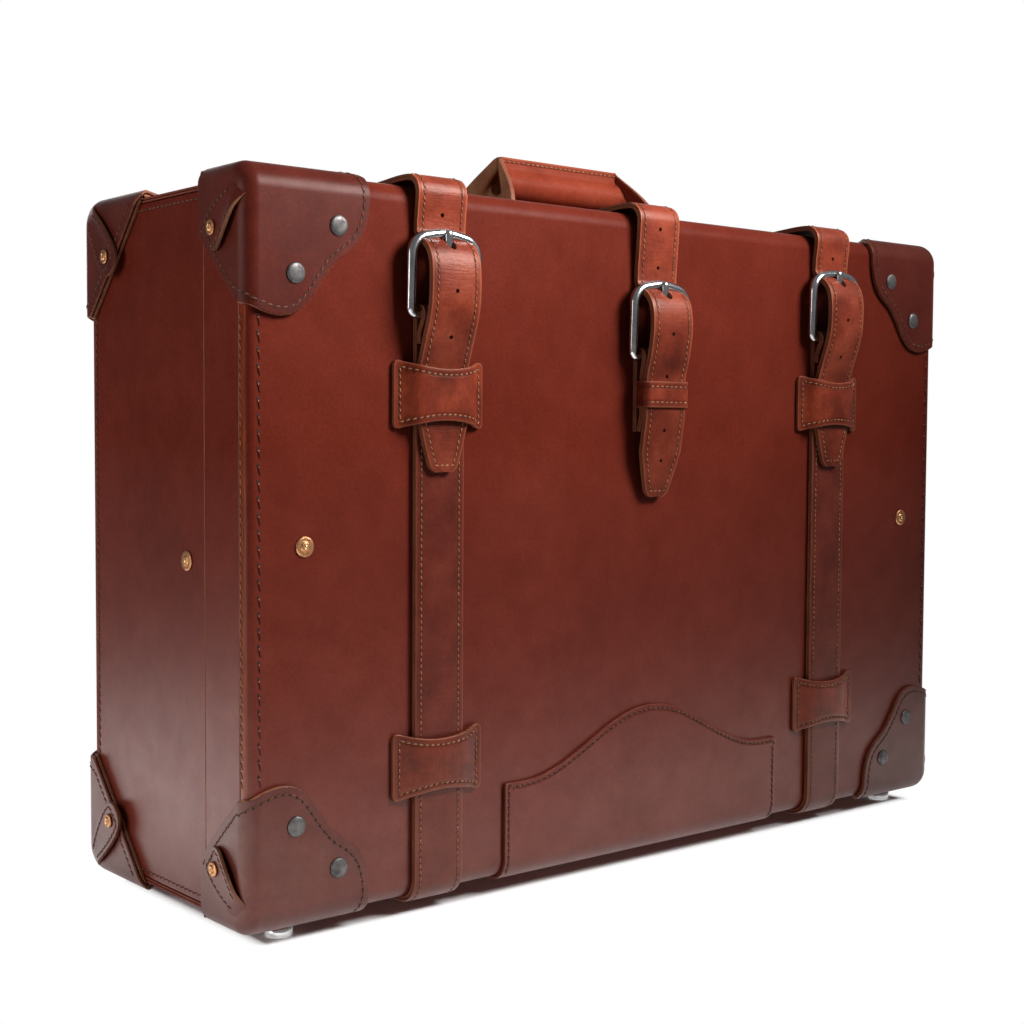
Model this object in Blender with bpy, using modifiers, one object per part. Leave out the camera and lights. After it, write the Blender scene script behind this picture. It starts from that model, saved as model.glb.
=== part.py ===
# Leather suitcase with a hinged lid, three buckled straps, moulded corner caps and a rolled handle.
# Sizes are in metres. X is to the right, Y goes back from the lid's front face, Z is up from the case's bottom.
import math

import bmesh
import bpy
import numpy as np
from mathutils import Matrix, Vector

# Case
CASE_WIDTH = 0.654
CASE_HEIGHT = 0.450
CASE_DEPTH = 0.212
LID_DEPTH = 0.051
WALL = 0.0034
EDGE_RADIUS = 0.013
RIM_CLEARANCE = 0.0015
TONGUE = 0.022
HINGE_RELIEF = 0.012
LINING = 0.0012
GAP = 0.0003

# Corner caps
CAP_SIZE = 0.085
BASE_CAP_SIDE = 0.077
CAP_LEATHER = 0.0032
CAP_ROUNDING = 0.010
CAP_LIP = 0.004
CAP_LOBE = 0.024
CAP_WAIST = 0.006
TAB_LEATHER = 0.003
TAB_WIDTH = 0.025
TAB_ROOT_WIDTH = 0.015
TAB_START = 0.012
TAB_END = 0.055
TAB_ROUND = 0.006

# Rivets and feet
DOME_RADIUS = 0.0063
DOME_HEIGHT = 0.0024
DOME_NEAR = 0.031
DOME_FAR = 0.061
BURR_RADIUS = 0.0064
BURR_HEIGHT = 0.0011
RIVET_RADIUS = 0.0032
RIVET_HEIGHT = 0.0019
FRONT_RIVET_INSET = 0.039
FRONT_RIVET_OFFSET = 0.0026
SIDE_RIVET_DEPTH = 0.081
SIDE_RIVET_OFFSET = 0.007
FOOT_RADIUS = 0.0085
FOOT_HEIGHT = 0.0074
FOOT_CHAMFER = 0.001
FOOT_SIDE_INSET = 0.0335
FOOT_FACE_INSET = 0.021

# Straps
STRAP_WIDTH = 0.038
STRAP = 0.0038
STRAP_SPACING = 0.190
STRAP_LIFT_TOP = 0.0028
STRAP_LIFT_FRONT = 0.0042
STRAP_BEND = 0.016
STRAP_EASE = 0.05
RAMP = 0.035
TAIL_TAPER = 0.032
TAIL_TIP_WIDTH = 0.019
TAIL_ROUND = 0.006
TAIL_LIFT = 0.0016
FOLD_LENGTH = 0.018
FOLD_SLANT = 0.45
LOOP_SLANT = 0.22
MIDDLE_END = 0.150

# Buckles
SIDE_HEEL_DROP = 0.081
MIDDLE_HEEL_DROP = 0.101
BUCKLE_REACH = 0.0515
BUCKLE_ARCH = 0.004
BUCKLE_CORNER = 0.010
HEEL_CORNER = 0.0034
WIRE = 0.0024
BUCKLE_SIDE_PLAY = 0.004
BEHIND_BAR = 0.0008
BAR_PLAY = 0.0014
BULGE = 0.004
BULGE_SAG = 0.0035
BULGE_DROP = 0.034
SWERVE = 0.0065
SWERVE_DROP = 0.008
SETTLE = 0.0065
HEEL_EASE = 0.003
SWERVE_RADIUS = 0.006
PRONG = 0.0016
PRONG_OVER = 0.004
EYE_TURN = math.radians(250)
SLOT_SIDE = 0.0007
SLOT_FORWARD = 0.0028
SLOT_BACK = 0.001

# Keepers
KEEPER_WIDTH = 0.070
KEEPER_HEIGHT = 0.043
KEEPER_WAIST = 0.0055
KEEPER_LEATHER = 0.0024
KEEPER_SIDE_PLAY = 0.0008
KEEPER_OVER_PLAY = 0.0024
KEEPER_FLARE = 0.008
KEEPER_BEND = 0.005
UPPER_KEEPER_DROP = 0.1295
LOWER_KEEPER = 0.087
LOOP_LEATHER = 0.002
LOOP_HEIGHT = 0.018
LOOP_PLAY = 0.0004
LOOP_DROP = 0.127
LOOP_TRAVEL = 0.005
CHAPE_DROP = 0.153
SIDE_TIP_DROP = 0.179
MIDDLE_TIP_DROP = 0.1985

# Scalloped panel, which is also the hinge
PANEL_WIDTH = 0.268
PANEL_LEATHER = 0.0024
PANEL_SHOULDER = 0.064
PANEL_APEX = 0.103
PANEL_BELL = 0.118
HINGE_LEAF = 0.060

# Handle
HANDLE_PLACE = 0.103
HANDLE_LEATHER = 0.0032
HANDLE_RISE = 0.0197
GRIP_RADIUS = 0.0095
GRIP_NECK = 0.007
GRIP_FIN = 0.006
GRIP_HALF = 0.057
ROLL_HALF = 0.085
ROLL_EASE = 0.8
RISE_EASE = 3
HANDLE_HALF = 0.115

# Worked out from the sizes above
STEP = WALL + RIM_CLEARANCE
BASE_TOP = CASE_HEIGHT - STEP
BASE_HALF = CASE_WIDTH / 2 - STEP
SIDE_HEEL = CASE_HEIGHT - SIDE_HEEL_DROP
MIDDLE_HEEL = CASE_HEIGHT - MIDDLE_HEEL_DROP
UPPER_KEEPER = CASE_HEIGHT - UPPER_KEEPER_DROP
LOOP_CENTRE = CASE_HEIGHT - LOOP_DROP
CHAPE_BOTTOM = CASE_HEIGHT - CHAPE_DROP
SIDE_TIP = CASE_HEIGHT - SIDE_TIP_DROP
MIDDLE_TIP = CASE_HEIGHT - MIDDLE_TIP_DROP
FRONT_RIVET_HEIGHT = CASE_HEIGHT / 2 + FRONT_RIVET_OFFSET
SIDE_RIVET_HEIGHT = BASE_TOP / 2 - SIDE_RIVET_OFFSET
LYING = GAP + STRAP / 2
SECOND = LYING + GAP + STRAP
HEEL_OUT = GAP + STRAP + GAP + WIRE
FOLD_RADIUS = WIRE + GAP + STRAP / 2
OVER_HEEL = HEEL_OUT + FOLD_RADIUS + STRAP + GAP + BULGE
BEHIND_OUT = BEHIND_BAR + STRAP / 2
BAR_OUT = BEHIND_BAR + STRAP + BAR_PLAY + WIRE
EYE_RADIUS = WIRE + GAP + PRONG
PRONG_OUT = BAR_OUT + WIRE + GAP + PRONG
LOOP_FRONT_LAYER = GAP + STRAP + 2 * LOOP_PLAY + LOOP_LEATHER + STRAP / 2
CAP_OUT = GAP + CAP_LEATHER
HINGE = Vector((0, LID_DEPTH + GAP / 2, -(GAP + STRAP + GAP)))
ARC_STEPS = 6
ROUND_STEPS = 14
SPARE = 0.02

COLOURS = {
    "body_leather": ((0.162, 0.030, 0.021), 0.42, 0.0),
    "cap_leather": ((0.090, 0.022, 0.019), 0.45, 0.0),
    "strap_leather": ((0.240, 0.062, 0.034), 0.50, 0.0),
    "lining_leather": ((0.420, 0.250, 0.140), 0.80, 0.0),
    "polished_steel": ((0.620, 0.620, 0.630), 0.18, 1.0),
    "dark_steel": ((0.200, 0.195, 0.190), 0.35, 1.0),
    "copper": ((0.640, 0.300, 0.140), 0.35, 1.0),
}


def clear_scene():
    for obj in list(bpy.data.objects):
        bpy.data.objects.remove(obj, do_unlink=True)


def new_collection(name):
    collection = bpy.data.collections.new(name)
    bpy.context.scene.collection.children.link(collection)
    return collection


def new_material(name):
    colour, roughness, metallic = COLOURS[name]
    material = bpy.data.materials.new(name)
    material.use_nodes = True
    shader = material.node_tree.nodes["Principled BSDF"]
    shader.inputs["Base Color"].default_value = (*colour, 1)
    shader.inputs["Roughness"].default_value = roughness
    shader.inputs["Metallic"].default_value = metallic
    return material


clear_scene()
PARTS = new_collection("leather_suitcase")
CUTTERS = new_collection("cutters")
MATERIALS = {name: new_material(name) for name in COLOURS}


def new_empty(name, place, parent=None):
    empty = bpy.data.objects.new(name, None)
    PARTS.objects.link(empty)
    empty.location = place
    hang(empty, parent)
    return empty


def hang(obj, parent):
    # Keeps the object where it is while it follows its parent.
    bpy.context.view_layer.update()
    if parent is not None:
        obj.parent = parent
        obj.matrix_parent_inverse = parent.matrix_world.inverted()


def finish(obj, material, parent, origin=None):
    obj.data.materials.clear()
    obj.data.materials.append(MATERIALS[material])
    if origin is not None:
        obj.data.transform(Matrix.Translation(-Vector(origin)))
        obj.location = origin
    hang(obj, parent)
    return obj


def object_from(name, bm):
    mesh = bpy.data.meshes.new(name)
    bm.to_mesh(mesh)
    bm.free()
    obj = bpy.data.objects.new(name, mesh)
    PARTS.objects.link(obj)
    return obj


def mesh_of(obj):
    # The evaluated mesh with its caps welded.
    evaluated = obj.evaluated_get(bpy.context.evaluated_depsgraph_get())
    mesh = bpy.data.meshes.new_from_object(evaluated)
    bm = bmesh.new()
    bm.from_mesh(mesh)
    bmesh.ops.remove_doubles(bm, verts=bm.verts, dist=1e-6)
    bmesh.ops.recalc_face_normals(bm, faces=bm.faces)
    bm.to_mesh(mesh)
    bm.free()
    return mesh


def as_mesh(obj):
    # A mesh object in place of a curve or of an object with modifiers.
    bpy.context.view_layer.update()
    name = obj.name
    mesh = mesh_of(obj)
    mesh.transform(obj.matrix_world)
    bpy.data.objects.remove(obj, do_unlink=True)
    made = bpy.data.objects.new(name, mesh)
    PARTS.objects.link(made)
    return made


def smooth(obj, angle=40):
    obj.data.shade_smooth()
    obj.data.set_sharp_from_angle(angle=math.radians(angle))


def rounded(corners, radii, closed=False, steps=ARC_STEPS):
    # The corners of a path with each one replaced by an arc of its radius, or less where room is short.
    path = []
    count = len(corners)
    for index, (corner, radius) in enumerate(zip(corners, radii)):
        here = Vector(corner)
        end = not closed and index in (0, count - 1)
        if end or radius <= 0:
            path.append(here)
            continue
        back = Vector(corners[index - 1]) - here
        ahead = Vector(corners[(index + 1) % count]) - here
        half = back.angle(ahead) / 2
        room = min(back.length, ahead.length) / 2
        reach = min(radius / math.tan(half), room)
        back.normalize()
        ahead.normalize()
        centre = here + (back + ahead).normalized() * reach / math.cos(half)
        first = here + back * reach - centre
        last = here + ahead * reach - centre
        for step in range(steps + 1):
            mix = step / steps
            turn = first.angle(last)
            weight = math.sin((1 - mix) * turn), math.sin(mix * turn)
            path.append(centre + (first * weight[0] + last * weight[1]) / math.sin(turn))
    return path


def arc(centre, radius, start, end, steps):
    angles = np.linspace(start, end, steps + 1)
    return [Vector((centre[0] + radius * math.cos(a), centre[1] + radius * math.sin(a))) for a in angles]


def sheet(name, along, across, surface, thickness, offset=0.0):
    # A leather sheet: surface(row, share) gives the point of each row at a share of its width.
    bm = bmesh.new()
    bmesh.ops.create_grid(bm, x_segments=across, y_segments=along, size=1)
    for vert in bm.verts:
        row = round((vert.co.y + 1) / 2 * along)
        vert.co = surface(row, (vert.co.x + 1) / 2)
    obj = object_from(name, bm)
    solidify = obj.modifiers.new("Leather", "SOLIDIFY")
    solidify.thickness = thickness
    solidify.offset = offset
    solidify.use_even_offset = True
    return obj


def strip(name, path, half_widths, thickness, centre_x=0.0):
    # A strap that follows a path in the YZ plane.
    def surface(row, share):
        y, z = path[row]
        return Vector((centre_x + (2 * share - 1) * half_widths[row], y, z))

    return sheet(name, len(path) - 1, 1, surface, thickness)


def flat_curve(name, outlines, thickness, frame):
    # A flat outline, with holes if there are more outlines, extruded both ways from its plane.
    curve = bpy.data.curves.new(name, "CURVE")
    curve.dimensions = "2D"
    curve.fill_mode = "BOTH"
    curve.extrude = thickness / 2
    for outline in outlines:
        spline = curve.splines.new("POLY")
        spline.points.add(len(outline) - 1)
        for point, (a, b) in zip(spline.points, outline):
            point.co = (a, b, 0, 1)
        spline.use_cyclic_u = True
    obj = bpy.data.objects.new(name, curve)
    PARTS.objects.link(obj)
    obj.matrix_world = frame
    return as_mesh(obj)


def frame_from(origin, first, second):
    # A plane's own axes set in the world.
    first = Vector(first)
    second = Vector(second)
    third = first.cross(second)
    matrix = Matrix((first, second, third)).transposed().to_4x4()
    return Matrix.Translation(Vector(origin)) @ matrix


def wire(name, points, radius, closed):
    curve = bpy.data.curves.new(name, "CURVE")
    curve.dimensions = "3D"
    curve.bevel_depth = radius
    curve.bevel_resolution = 2
    curve.use_fill_caps = True
    spline = curve.splines.new("POLY")
    spline.points.add(len(points) - 1)
    for point, place in zip(spline.points, points):
        point.co = (*place, 1)
    spline.use_cyclic_u = closed
    obj = bpy.data.objects.new(name, curve)
    PARTS.objects.link(obj)
    made = as_mesh(obj)
    smooth(made)
    return made


def turned(name, profile, frame):
    # A profile of radius and height, from the top of the axis down its outer side, turned about the axis.
    bm = bmesh.new()
    verts = [bm.verts.new((radius, 0, height)) for radius, height in profile]
    for first, second in zip(verts, verts[1:]):
        bm.edges.new((first, second))
    obj = object_from(name, bm)
    screw = obj.modifiers.new("Turn", "SCREW")
    screw.steps = ROUND_STEPS
    screw.render_steps = ROUND_STEPS
    screw.use_merge_vertices = True
    screw.merge_threshold = 1e-5
    obj.matrix_world = frame
    made = as_mesh(obj)
    smooth(made)
    return made


def cut(obj, cutter, operation="DIFFERENCE"):
    boolean = obj.modifiers.new(operation.title(), "BOOLEAN")
    boolean.operation = operation
    boolean.solver = "EXACT"
    boolean.object = cutter


def hide_cutter(obj, parent):
    for collection in list(obj.users_collection):
        collection.objects.unlink(obj)
    CUTTERS.objects.link(obj)
    obj.hide_render = True
    obj.display_type = "WIRE"
    hang(obj, parent)


def block(name, low, high):
    bm = bmesh.new()
    bmesh.ops.create_cube(bm, size=1)
    low = Vector(low)
    high = Vector(high)
    for vert in bm.verts:
        vert.co = Vector((vert.co[i] + 0.5) * (high[i] - low[i]) + low[i] for i in range(3))
    return object_from(name, bm)


def edge_along_x(bm, y, z):
    return [
        edge
        for edge in bm.edges
        if all(abs(v.co.y - y) < 1e-6 and abs(v.co.z - z) < 1e-6 for v in edge.verts)
    ]


def round_edges(bm, edges, radius, steps):
    bmesh.ops.bevel(bm, geom=edges, offset=radius, segments=steps, affect="EDGES", profile=0.5, material=-1)


# The leather walls of the lid and the base
def make_wrap(name, corners, half_width, parent):
    radius = EDGE_RADIUS - WALL / 2
    path = rounded(corners, (0, radius, radius, 0))
    obj = strip(name, path, [half_width] * len(path), WALL)
    return finish(obj, "body_leather", parent)


def make_lid_walls(lid):
    half = WALL / 2
    corners = (
        (LID_DEPTH, CASE_HEIGHT - half),
        (half, CASE_HEIGHT - half),
        (half, half),
        (LID_DEPTH, half),
    )
    make_wrap("lid_wrap", corners, CASE_WIDTH / 2, lid)
    inner = WALL + GAP
    outline = rounded(
        ((LID_DEPTH, CASE_HEIGHT - inner), (inner, CASE_HEIGHT - inner), (inner, inner), (LID_DEPTH, inner)),
        (0, EDGE_RADIUS - WALL, EDGE_RADIUS - WALL, 0),
        closed=True,
    )
    for side, name in ((-1, "lid_side_left"), (1, "lid_side_right")):
        place = frame_from((side * (CASE_WIDTH - WALL) / 2, 0, 0), (0, 1, 0), (0, 0, 1))
        finish(flat_curve(name, [outline], WALL, place), "body_leather", lid)
    low = (-CASE_WIDTH / 2 + inner, inner, inner)
    high = (CASE_WIDTH / 2 - inner, LID_DEPTH - TONGUE - GAP, CASE_HEIGHT - inner)
    make_lining("lid_lining", low, high, high[1], low[1], lid)


def make_base_walls(case):
    half = WALL / 2
    tongue_front = LID_DEPTH - TONGUE
    corners = (
        (tongue_front, BASE_TOP - half),
        (CASE_DEPTH - half, BASE_TOP - half),
        (CASE_DEPTH - half, half),
        (LID_DEPTH + GAP, half),
    )
    make_wrap("base_wrap", corners, BASE_HALF, case)
    inner = WALL + GAP
    back = CASE_DEPTH - inner
    outline = rounded(
        (
            (tongue_front, BASE_TOP - inner),
            (back, BASE_TOP - inner),
            (back, inner),
            (LID_DEPTH + GAP, inner),
            (LID_DEPTH + GAP, HINGE_RELIEF),
            (tongue_front, HINGE_RELIEF + TONGUE),
        ),
        (0, EDGE_RADIUS - WALL, EDGE_RADIUS - WALL, 0, 0, 0),
        closed=True,
    )
    for side, name in ((-1, "base_side_left"), (1, "base_side_right")):
        place = frame_from((side * (BASE_HALF - half), 0, 0), (0, 1, 0), (0, 0, 1))
        finish(flat_curve(name, [outline], WALL, place), "body_leather", case)
    low = (-BASE_HALF + inner, LID_DEPTH + GAP, inner)
    high = (BASE_HALF - inner, back, BASE_TOP - inner)
    make_lining("base_lining", low, high, low[1], high[1], case)


def make_lining(name, low, high, mouth, bottom, parent):
    # A tray with its mouth on one Y and its rounded bottom edges on the other.
    obj = block(name, low, high)
    bm = bmesh.new()
    bm.from_mesh(obj.data)
    lid_faces = [face for face in bm.faces if all(abs(v.co.y - mouth) < 1e-6 for v in face.verts)]
    bmesh.ops.delete(bm, geom=lid_faces, context="FACES_ONLY")
    edges = edge_along_x(bm, bottom, low[2]) + edge_along_x(bm, bottom, high[2])
    round_edges(bm, edges, EDGE_RADIUS - WALL, ARC_STEPS)
    bm.to_mesh(obj.data)
    bm.free()
    solidify = obj.modifiers.new("Lining", "SOLIDIFY")
    solidify.thickness = LINING
    solidify.offset = -1
    solidify.use_even_offset = True
    finish(obj, "lining_leather", parent)


# Corner caps, made once in a corner's own axes and mirrored to each corner
def cap_outline():
    # Two lobes with a slight waist between them, in a corner's own axes.
    size = CAP_SIZE
    waist = size - CAP_LOBE - CAP_WAIST
    lobe = CAP_LOBE * 0.6
    corners = (
        (-SPARE, -SPARE),
        (size, -SPARE),
        (size, size - 2 * CAP_LOBE),
        (waist, waist),
        (size - 2 * CAP_LOBE, size),
        (-SPARE, size),
    )
    return rounded(corners, (0, 0, lobe, CAP_LOBE, lobe, 0), closed=True)


def cap_diagonal(size, limit):
    # The straight slanting edge on a cap's side, which stops at the limit.
    if limit >= size:
        return [(-SPARE, -SPARE), (size, -SPARE), (size, CAP_LIP), (CAP_LIP, size), (-SPARE, size)]
    meet = size - (limit - CAP_LIP)
    return [(-SPARE, -SPARE), (limit, -SPARE), (limit, meet), (CAP_LIP, size), (-SPARE, size)]


def cap_shell():
    far = CAP_SIZE + SPARE
    outer = block("cap_outer", (-CAP_OUT,) * 3, (far,) * 3)
    inner = block("cap_inner", (-GAP,) * 3, (far + SPARE,) * 3)
    for obj, near, radius in ((outer, -CAP_OUT, EDGE_RADIUS + CAP_OUT), (inner, -GAP, EDGE_RADIUS + GAP)):
        bm = bmesh.new()
        bm.from_mesh(obj.data)
        round_edges(bm, edge_along_x(bm, near, near), radius, ARC_STEPS)
        if obj is outer:
            rim = [
                edge
                for edge in bm.edges
                if all(abs(v.co.x - near) < 1e-6 for v in edge.verts)
                and all(v.co.y < far - 1e-6 or v.co.z < far - 1e-6 for v in edge.verts)
                and min(sum(v.co.y for v in edge.verts), sum(v.co.z for v in edge.verts)) < far
            ]
            round_edges(bm, rim, CAP_ROUNDING, 4)
        bm.to_mesh(obj.data)
        bm.free()
    cut(outer, inner)
    shell = as_mesh(outer)
    bpy.data.objects.remove(inner, do_unlink=True)
    return shell


def cap_mesh(size, limit):
    shell = cap_shell()
    middle = CAP_SIZE / 2
    span = 2 * CAP_SIZE + 4 * SPARE
    diagonal = cap_diagonal(size, limit)
    swapped = [(b, a) for a, b in diagonal]
    prisms = (
        flat_curve("front", [cap_outline()], span, frame_from((0, middle, 0), (1, 0, 0), (0, 0, 1))),
        flat_curve("side", [diagonal], span, frame_from((middle, 0, 0), (0, 1, 0), (0, 0, 1))),
        flat_curve("end", [swapped], span, frame_from((0, 0, middle), (1, 0, 0), (0, 1, 0))),
    )
    for prism in prisms:
        cut(shell, prism, "INTERSECT")
    tab = cap_tab()
    cut(shell, tab, "UNION")
    made = as_mesh(shell)
    for helper in (*prisms, tab):
        bpy.data.objects.remove(helper, do_unlink=True)
    mesh = made.data
    bpy.data.objects.remove(made, do_unlink=True)
    return mesh


def cap_tab():
    # The fold of spare leather that lies on the cap's side, along its diagonal.
    half = TAB_WIDTH / 2
    root = TAB_ROOT_WIDTH / 2
    slope = math.sqrt(0.5)

    def spot(along, aside):
        return ((along + aside) * slope, (along - aside) * slope)

    corners = [spot(TAB_START, root), spot(TAB_END, half), spot(TAB_END, -half), spot(TAB_START, -root)]
    outline = rounded(corners, (root / 2, TAB_ROUND, TAB_ROUND, root / 2), closed=True)
    middle = -CAP_OUT - TAB_LEATHER / 2 + GAP
    return flat_curve("tab", [outline], TAB_LEATHER + 2 * GAP, frame_from((middle, 0, 0), (0, 1, 0), (0, 0, 1)))


def make_caps(lid, case):
    corners = (
        ("lid", lid, cap_mesh(CAP_SIZE, LID_DEPTH), CASE_WIDTH / 2, 0, 1, CASE_HEIGHT),
        ("base", case, cap_mesh(BASE_CAP_SIDE, CASE_DEPTH), BASE_HALF, CASE_DEPTH, -1, BASE_TOP),
    )
    for part, parent, mesh, half, face, inward, top in corners:
        for side, hand in ((-1, "left"), (1, "right")):
            for level, height, up in (("top", top, 1), ("bottom", 0, -1)):
                copy = mesh.copy()
                mirror = Matrix.Diagonal((-side, inward, -up, 1))
                copy.transform(Matrix.Translation((side * half, face, height)) @ mirror)
                if mirror.determinant() < 0:
                    copy.flip_normals()
                obj = bpy.data.objects.new(f"{part}_cap_{level}_{hand}", copy)
                PARTS.objects.link(obj)
                smooth(obj)
                finish(obj, "cap_leather", parent)


# Rivets and feet
def dome_profile():
    rise = [(DOME_RADIUS * math.sin(a), DOME_HEIGHT * math.cos(a)) for a in np.linspace(0, math.pi / 2, 5)]
    return [(0.0, DOME_HEIGHT)] + rise[1:] + [(DOME_RADIUS, -0.0), (0.0, 0.0)][1:]


def burr_profile():
    return [
        (0.0, RIVET_HEIGHT),
        (RIVET_RADIUS * 0.7, RIVET_HEIGHT * 0.93),
        (RIVET_RADIUS, BURR_HEIGHT),
        (BURR_RADIUS * 0.9, BURR_HEIGHT),
        (BURR_RADIUS, BURR_HEIGHT * 0.6),
        (BURR_RADIUS, 0.0),
        (0.0, 0.0),
    ]


def foot_profile():
    return [
        (0.0, 0.0),
        (FOOT_RADIUS, 0.0),
        (FOOT_RADIUS, FOOT_CHAMFER - FOOT_HEIGHT),
        (FOOT_RADIUS - FOOT_CHAMFER, -FOOT_HEIGHT),
        (0.0, -FOOT_HEIGHT),
    ]


def facing_front(x, y, z):
    return frame_from((x, y, z), (1, 0, 0), (0, 0, 1))


def facing_side(x, y, z, side):
    return frame_from((x, y, z), (0, side, 0), (0, 0, 1))


def make_rivets(lid, case):
    for side, hand in ((-1, "left"), (1, "right")):
        for level, height, up in (("top", CASE_HEIGHT, 1), ("bottom", 0, -1)):
            for spot, inset, drop in (("inner", DOME_FAR, DOME_NEAR), ("outer", DOME_NEAR, DOME_FAR)):
                x = side * (CASE_WIDTH / 2 - inset)
                place = facing_front(x, -CAP_OUT - GAP, height - up * drop)
                dome = turned(f"dome_rivet_{level}_{hand}_{spot}", dome_profile(), place)
                finish(dome, "dark_steel", lid)
        x = side * (CASE_WIDTH / 2 - FRONT_RIVET_INSET)
        front = turned(f"front_rivet_{hand}", burr_profile(), facing_front(x, -GAP, FRONT_RIVET_HEIGHT))
        finish(front, "copper", lid)
        x = side * (BASE_HALF + GAP)
        place = facing_side(x, SIDE_RIVET_DEPTH, SIDE_RIVET_HEIGHT, side)
        finish(turned(f"side_rivet_{hand}", burr_profile(), place), "copper", case)


def make_feet(lid, case):
    for side, hand in ((-1, "left"), (1, "right")):
        under = -CAP_OUT - GAP
        x = side * (CASE_WIDTH / 2 - FOOT_SIDE_INSET)
        front = turned(f"foot_front_{hand}", foot_profile(), Matrix.Translation((x, FOOT_FACE_INSET, under)))
        finish(front, "polished_steel", lid)
        x = side * (BASE_HALF - FOOT_SIDE_INSET)
        place = Matrix.Translation((x, CASE_DEPTH - FOOT_FACE_INSET, under))
        finish(turned(f"foot_back_{hand}", foot_profile(), place), "polished_steel", case)


# Straps
def tail_half_widths(path):
    # Full width, then a taper to a rounded tip over the last stretch.
    steps = [(b - a).length for a, b in zip(path, path[1:])]
    left = np.concatenate((np.cumsum(steps[::-1])[::-1], (0.0,)))
    full = STRAP_WIDTH / 2
    tip = TAIL_TIP_WIDTH / 2
    widths = []
    for rest in left:
        width = tip + (full - tip) * min(1.0, rest / TAIL_TAPER) ** 0.9
        if rest < TAIL_ROUND:
            width -= (TAIL_ROUND - math.sqrt(max(0.0, TAIL_ROUND**2 - (TAIL_ROUND - rest) ** 2))) * 0.7
        widths.append(width)
    return widths


def tail_points(start_z, tip_z, out_start, out_tip):
    # More rows along the taper, so that its curve shows.
    drops = (0.0, 0.25, 0.5, 0.75, 0.9)
    rows = []
    taper_top = tip_z + TAIL_TAPER
    levels = [taper_top + (tip_z + TAIL_ROUND - taper_top) * drop for drop in drops]
    levels += [tip_z + TAIL_ROUND * share for share in (0.6, 0.3, 0.1, 0.0)]
    for z in levels:
        mix = (start_z - z) / (start_z - tip_z)
        rows.append(Vector((-(out_start + (out_tip - out_start) * mix), z)))
    return rows


def billet_path(heel, tip, middle):
    # From the rim over the top edge, behind the top bar, out over the heel bar and down to the tip.
    top = CASE_HEIGHT + LYING
    bar = heel + BUCKLE_REACH
    out = LYING + STRAP_LIFT_FRONT
    fold_end = heel - FOLD_LENGTH
    corners = [
        (LID_DEPTH, top),
        (LID_DEPTH - RAMP, top + STRAP_LIFT_TOP),
        (-out, top + STRAP_LIFT_TOP),
        (-BEHIND_OUT, bar + SETTLE),
        (-BEHIND_OUT, bar - SWERVE_DROP),
        (-OVER_HEEL + BULGE_SAG / 2, bar - SWERVE_DROP - SWERVE),
        (-OVER_HEEL, bar - BULGE_DROP),
    ]
    radii = [0, STRAP_EASE, STRAP_BEND, STRAP_EASE, SWERVE_RADIUS, SWERVE_RADIUS, STRAP_EASE]
    if middle:
        rest_out = LOOP_FRONT_LAYER + STRAP + GAP
        start = LOOP_CENTRE - LOOP_HEIGHT / 2 - LOOP_TRAVEL
        settled = LOOP_CENTRE + LOOP_HEIGHT / 2 + LOOP_TRAVEL + 4 * LOOP_PLAY
        corners += [(-OVER_HEEL + BULGE_SAG / 2, heel + HEEL_EASE), (-rest_out, settled), (-rest_out, start)]
        radii += [STRAP_EASE / 2] * 3
    else:
        rest_out = SECOND
        start = UPPER_KEEPER + KEEPER_HEIGHT / 2 - SETTLE
        corners += [(-OVER_HEEL + BULGE_SAG, heel - HEEL_EASE), (-(SECOND + STRAP + GAP), fold_end), (-rest_out, start)]
        radii += [STRAP_EASE / 2] * 3
    out_tip = LYING + TAIL_LIFT if middle else SECOND
    tail = tail_points(start, tip, rest_out, out_tip)
    corners.append(tuple(tail[0]))
    radii.append(0)
    return rounded(corners, radii) + tail[1:]


def prong_out(z, heel):
    # How far the prong's axis stands off the lid's face at a height.
    foot = HEEL_OUT + EYE_RADIUS
    return foot + (PRONG_OUT - foot) * (z - heel) / BUCKLE_REACH


def prong_slot(name, x, heel, parent):
    # The punched hole, long enough for the prong's own play.
    bar = heel + BUCKLE_REACH
    middle = bar - SWERVE_DROP - SWERVE / 2
    out = prong_out(middle, heel)
    half = PRONG + SLOT_SIDE
    low = -(out + PRONG + SLOT_FORWARD)
    high = -(out - PRONG - SLOT_BACK)
    outline = rounded(
        ((x - half, low), (x + half, low), (x + half, high), (x - half, high)), [half * 0.95] * 4, closed=True
    )
    length = SWERVE + 2 * HEEL_EASE
    slot = flat_curve(name, [outline], length, frame_from((0, 0, middle), (1, 0, 0), (0, 1, 0)))
    hide_cutter(slot, parent)
    return slot


def fold_slot(name, x, heel, parent):
    # The opening in the folded leather that lets the prong's eye sit on the bar.
    half = PRONG + SLOT_SIDE
    reach = EYE_RADIUS + PRONG + SLOT_BACK
    slot = block(name, (x - half, -HEEL_OUT - 2 * reach, heel - reach), (x + half, GAP, heel + 2 * reach))
    hide_cutter(slot, parent)
    return slot


def make_billet(name, x, heel, tip, middle, lid):
    path = billet_path(heel, tip, middle)
    obj = strip(name, path, tail_half_widths(path), STRAP, x)
    cut(obj, prong_slot(f"{name}_slot", x, heel, lid))
    return finish(obj, "strap_leather", lid)


def fold_points(heel, turn, level):
    # Round the heel bar from behind to the front, then slanting back to a level off the lid's face.
    path = arc((-HEEL_OUT, heel), FOLD_RADIUS, 0, math.pi + turn, 12)
    y, z = path[-1]
    return path + [Vector((-level, z + (y + level) / math.tan(turn)))]


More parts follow.
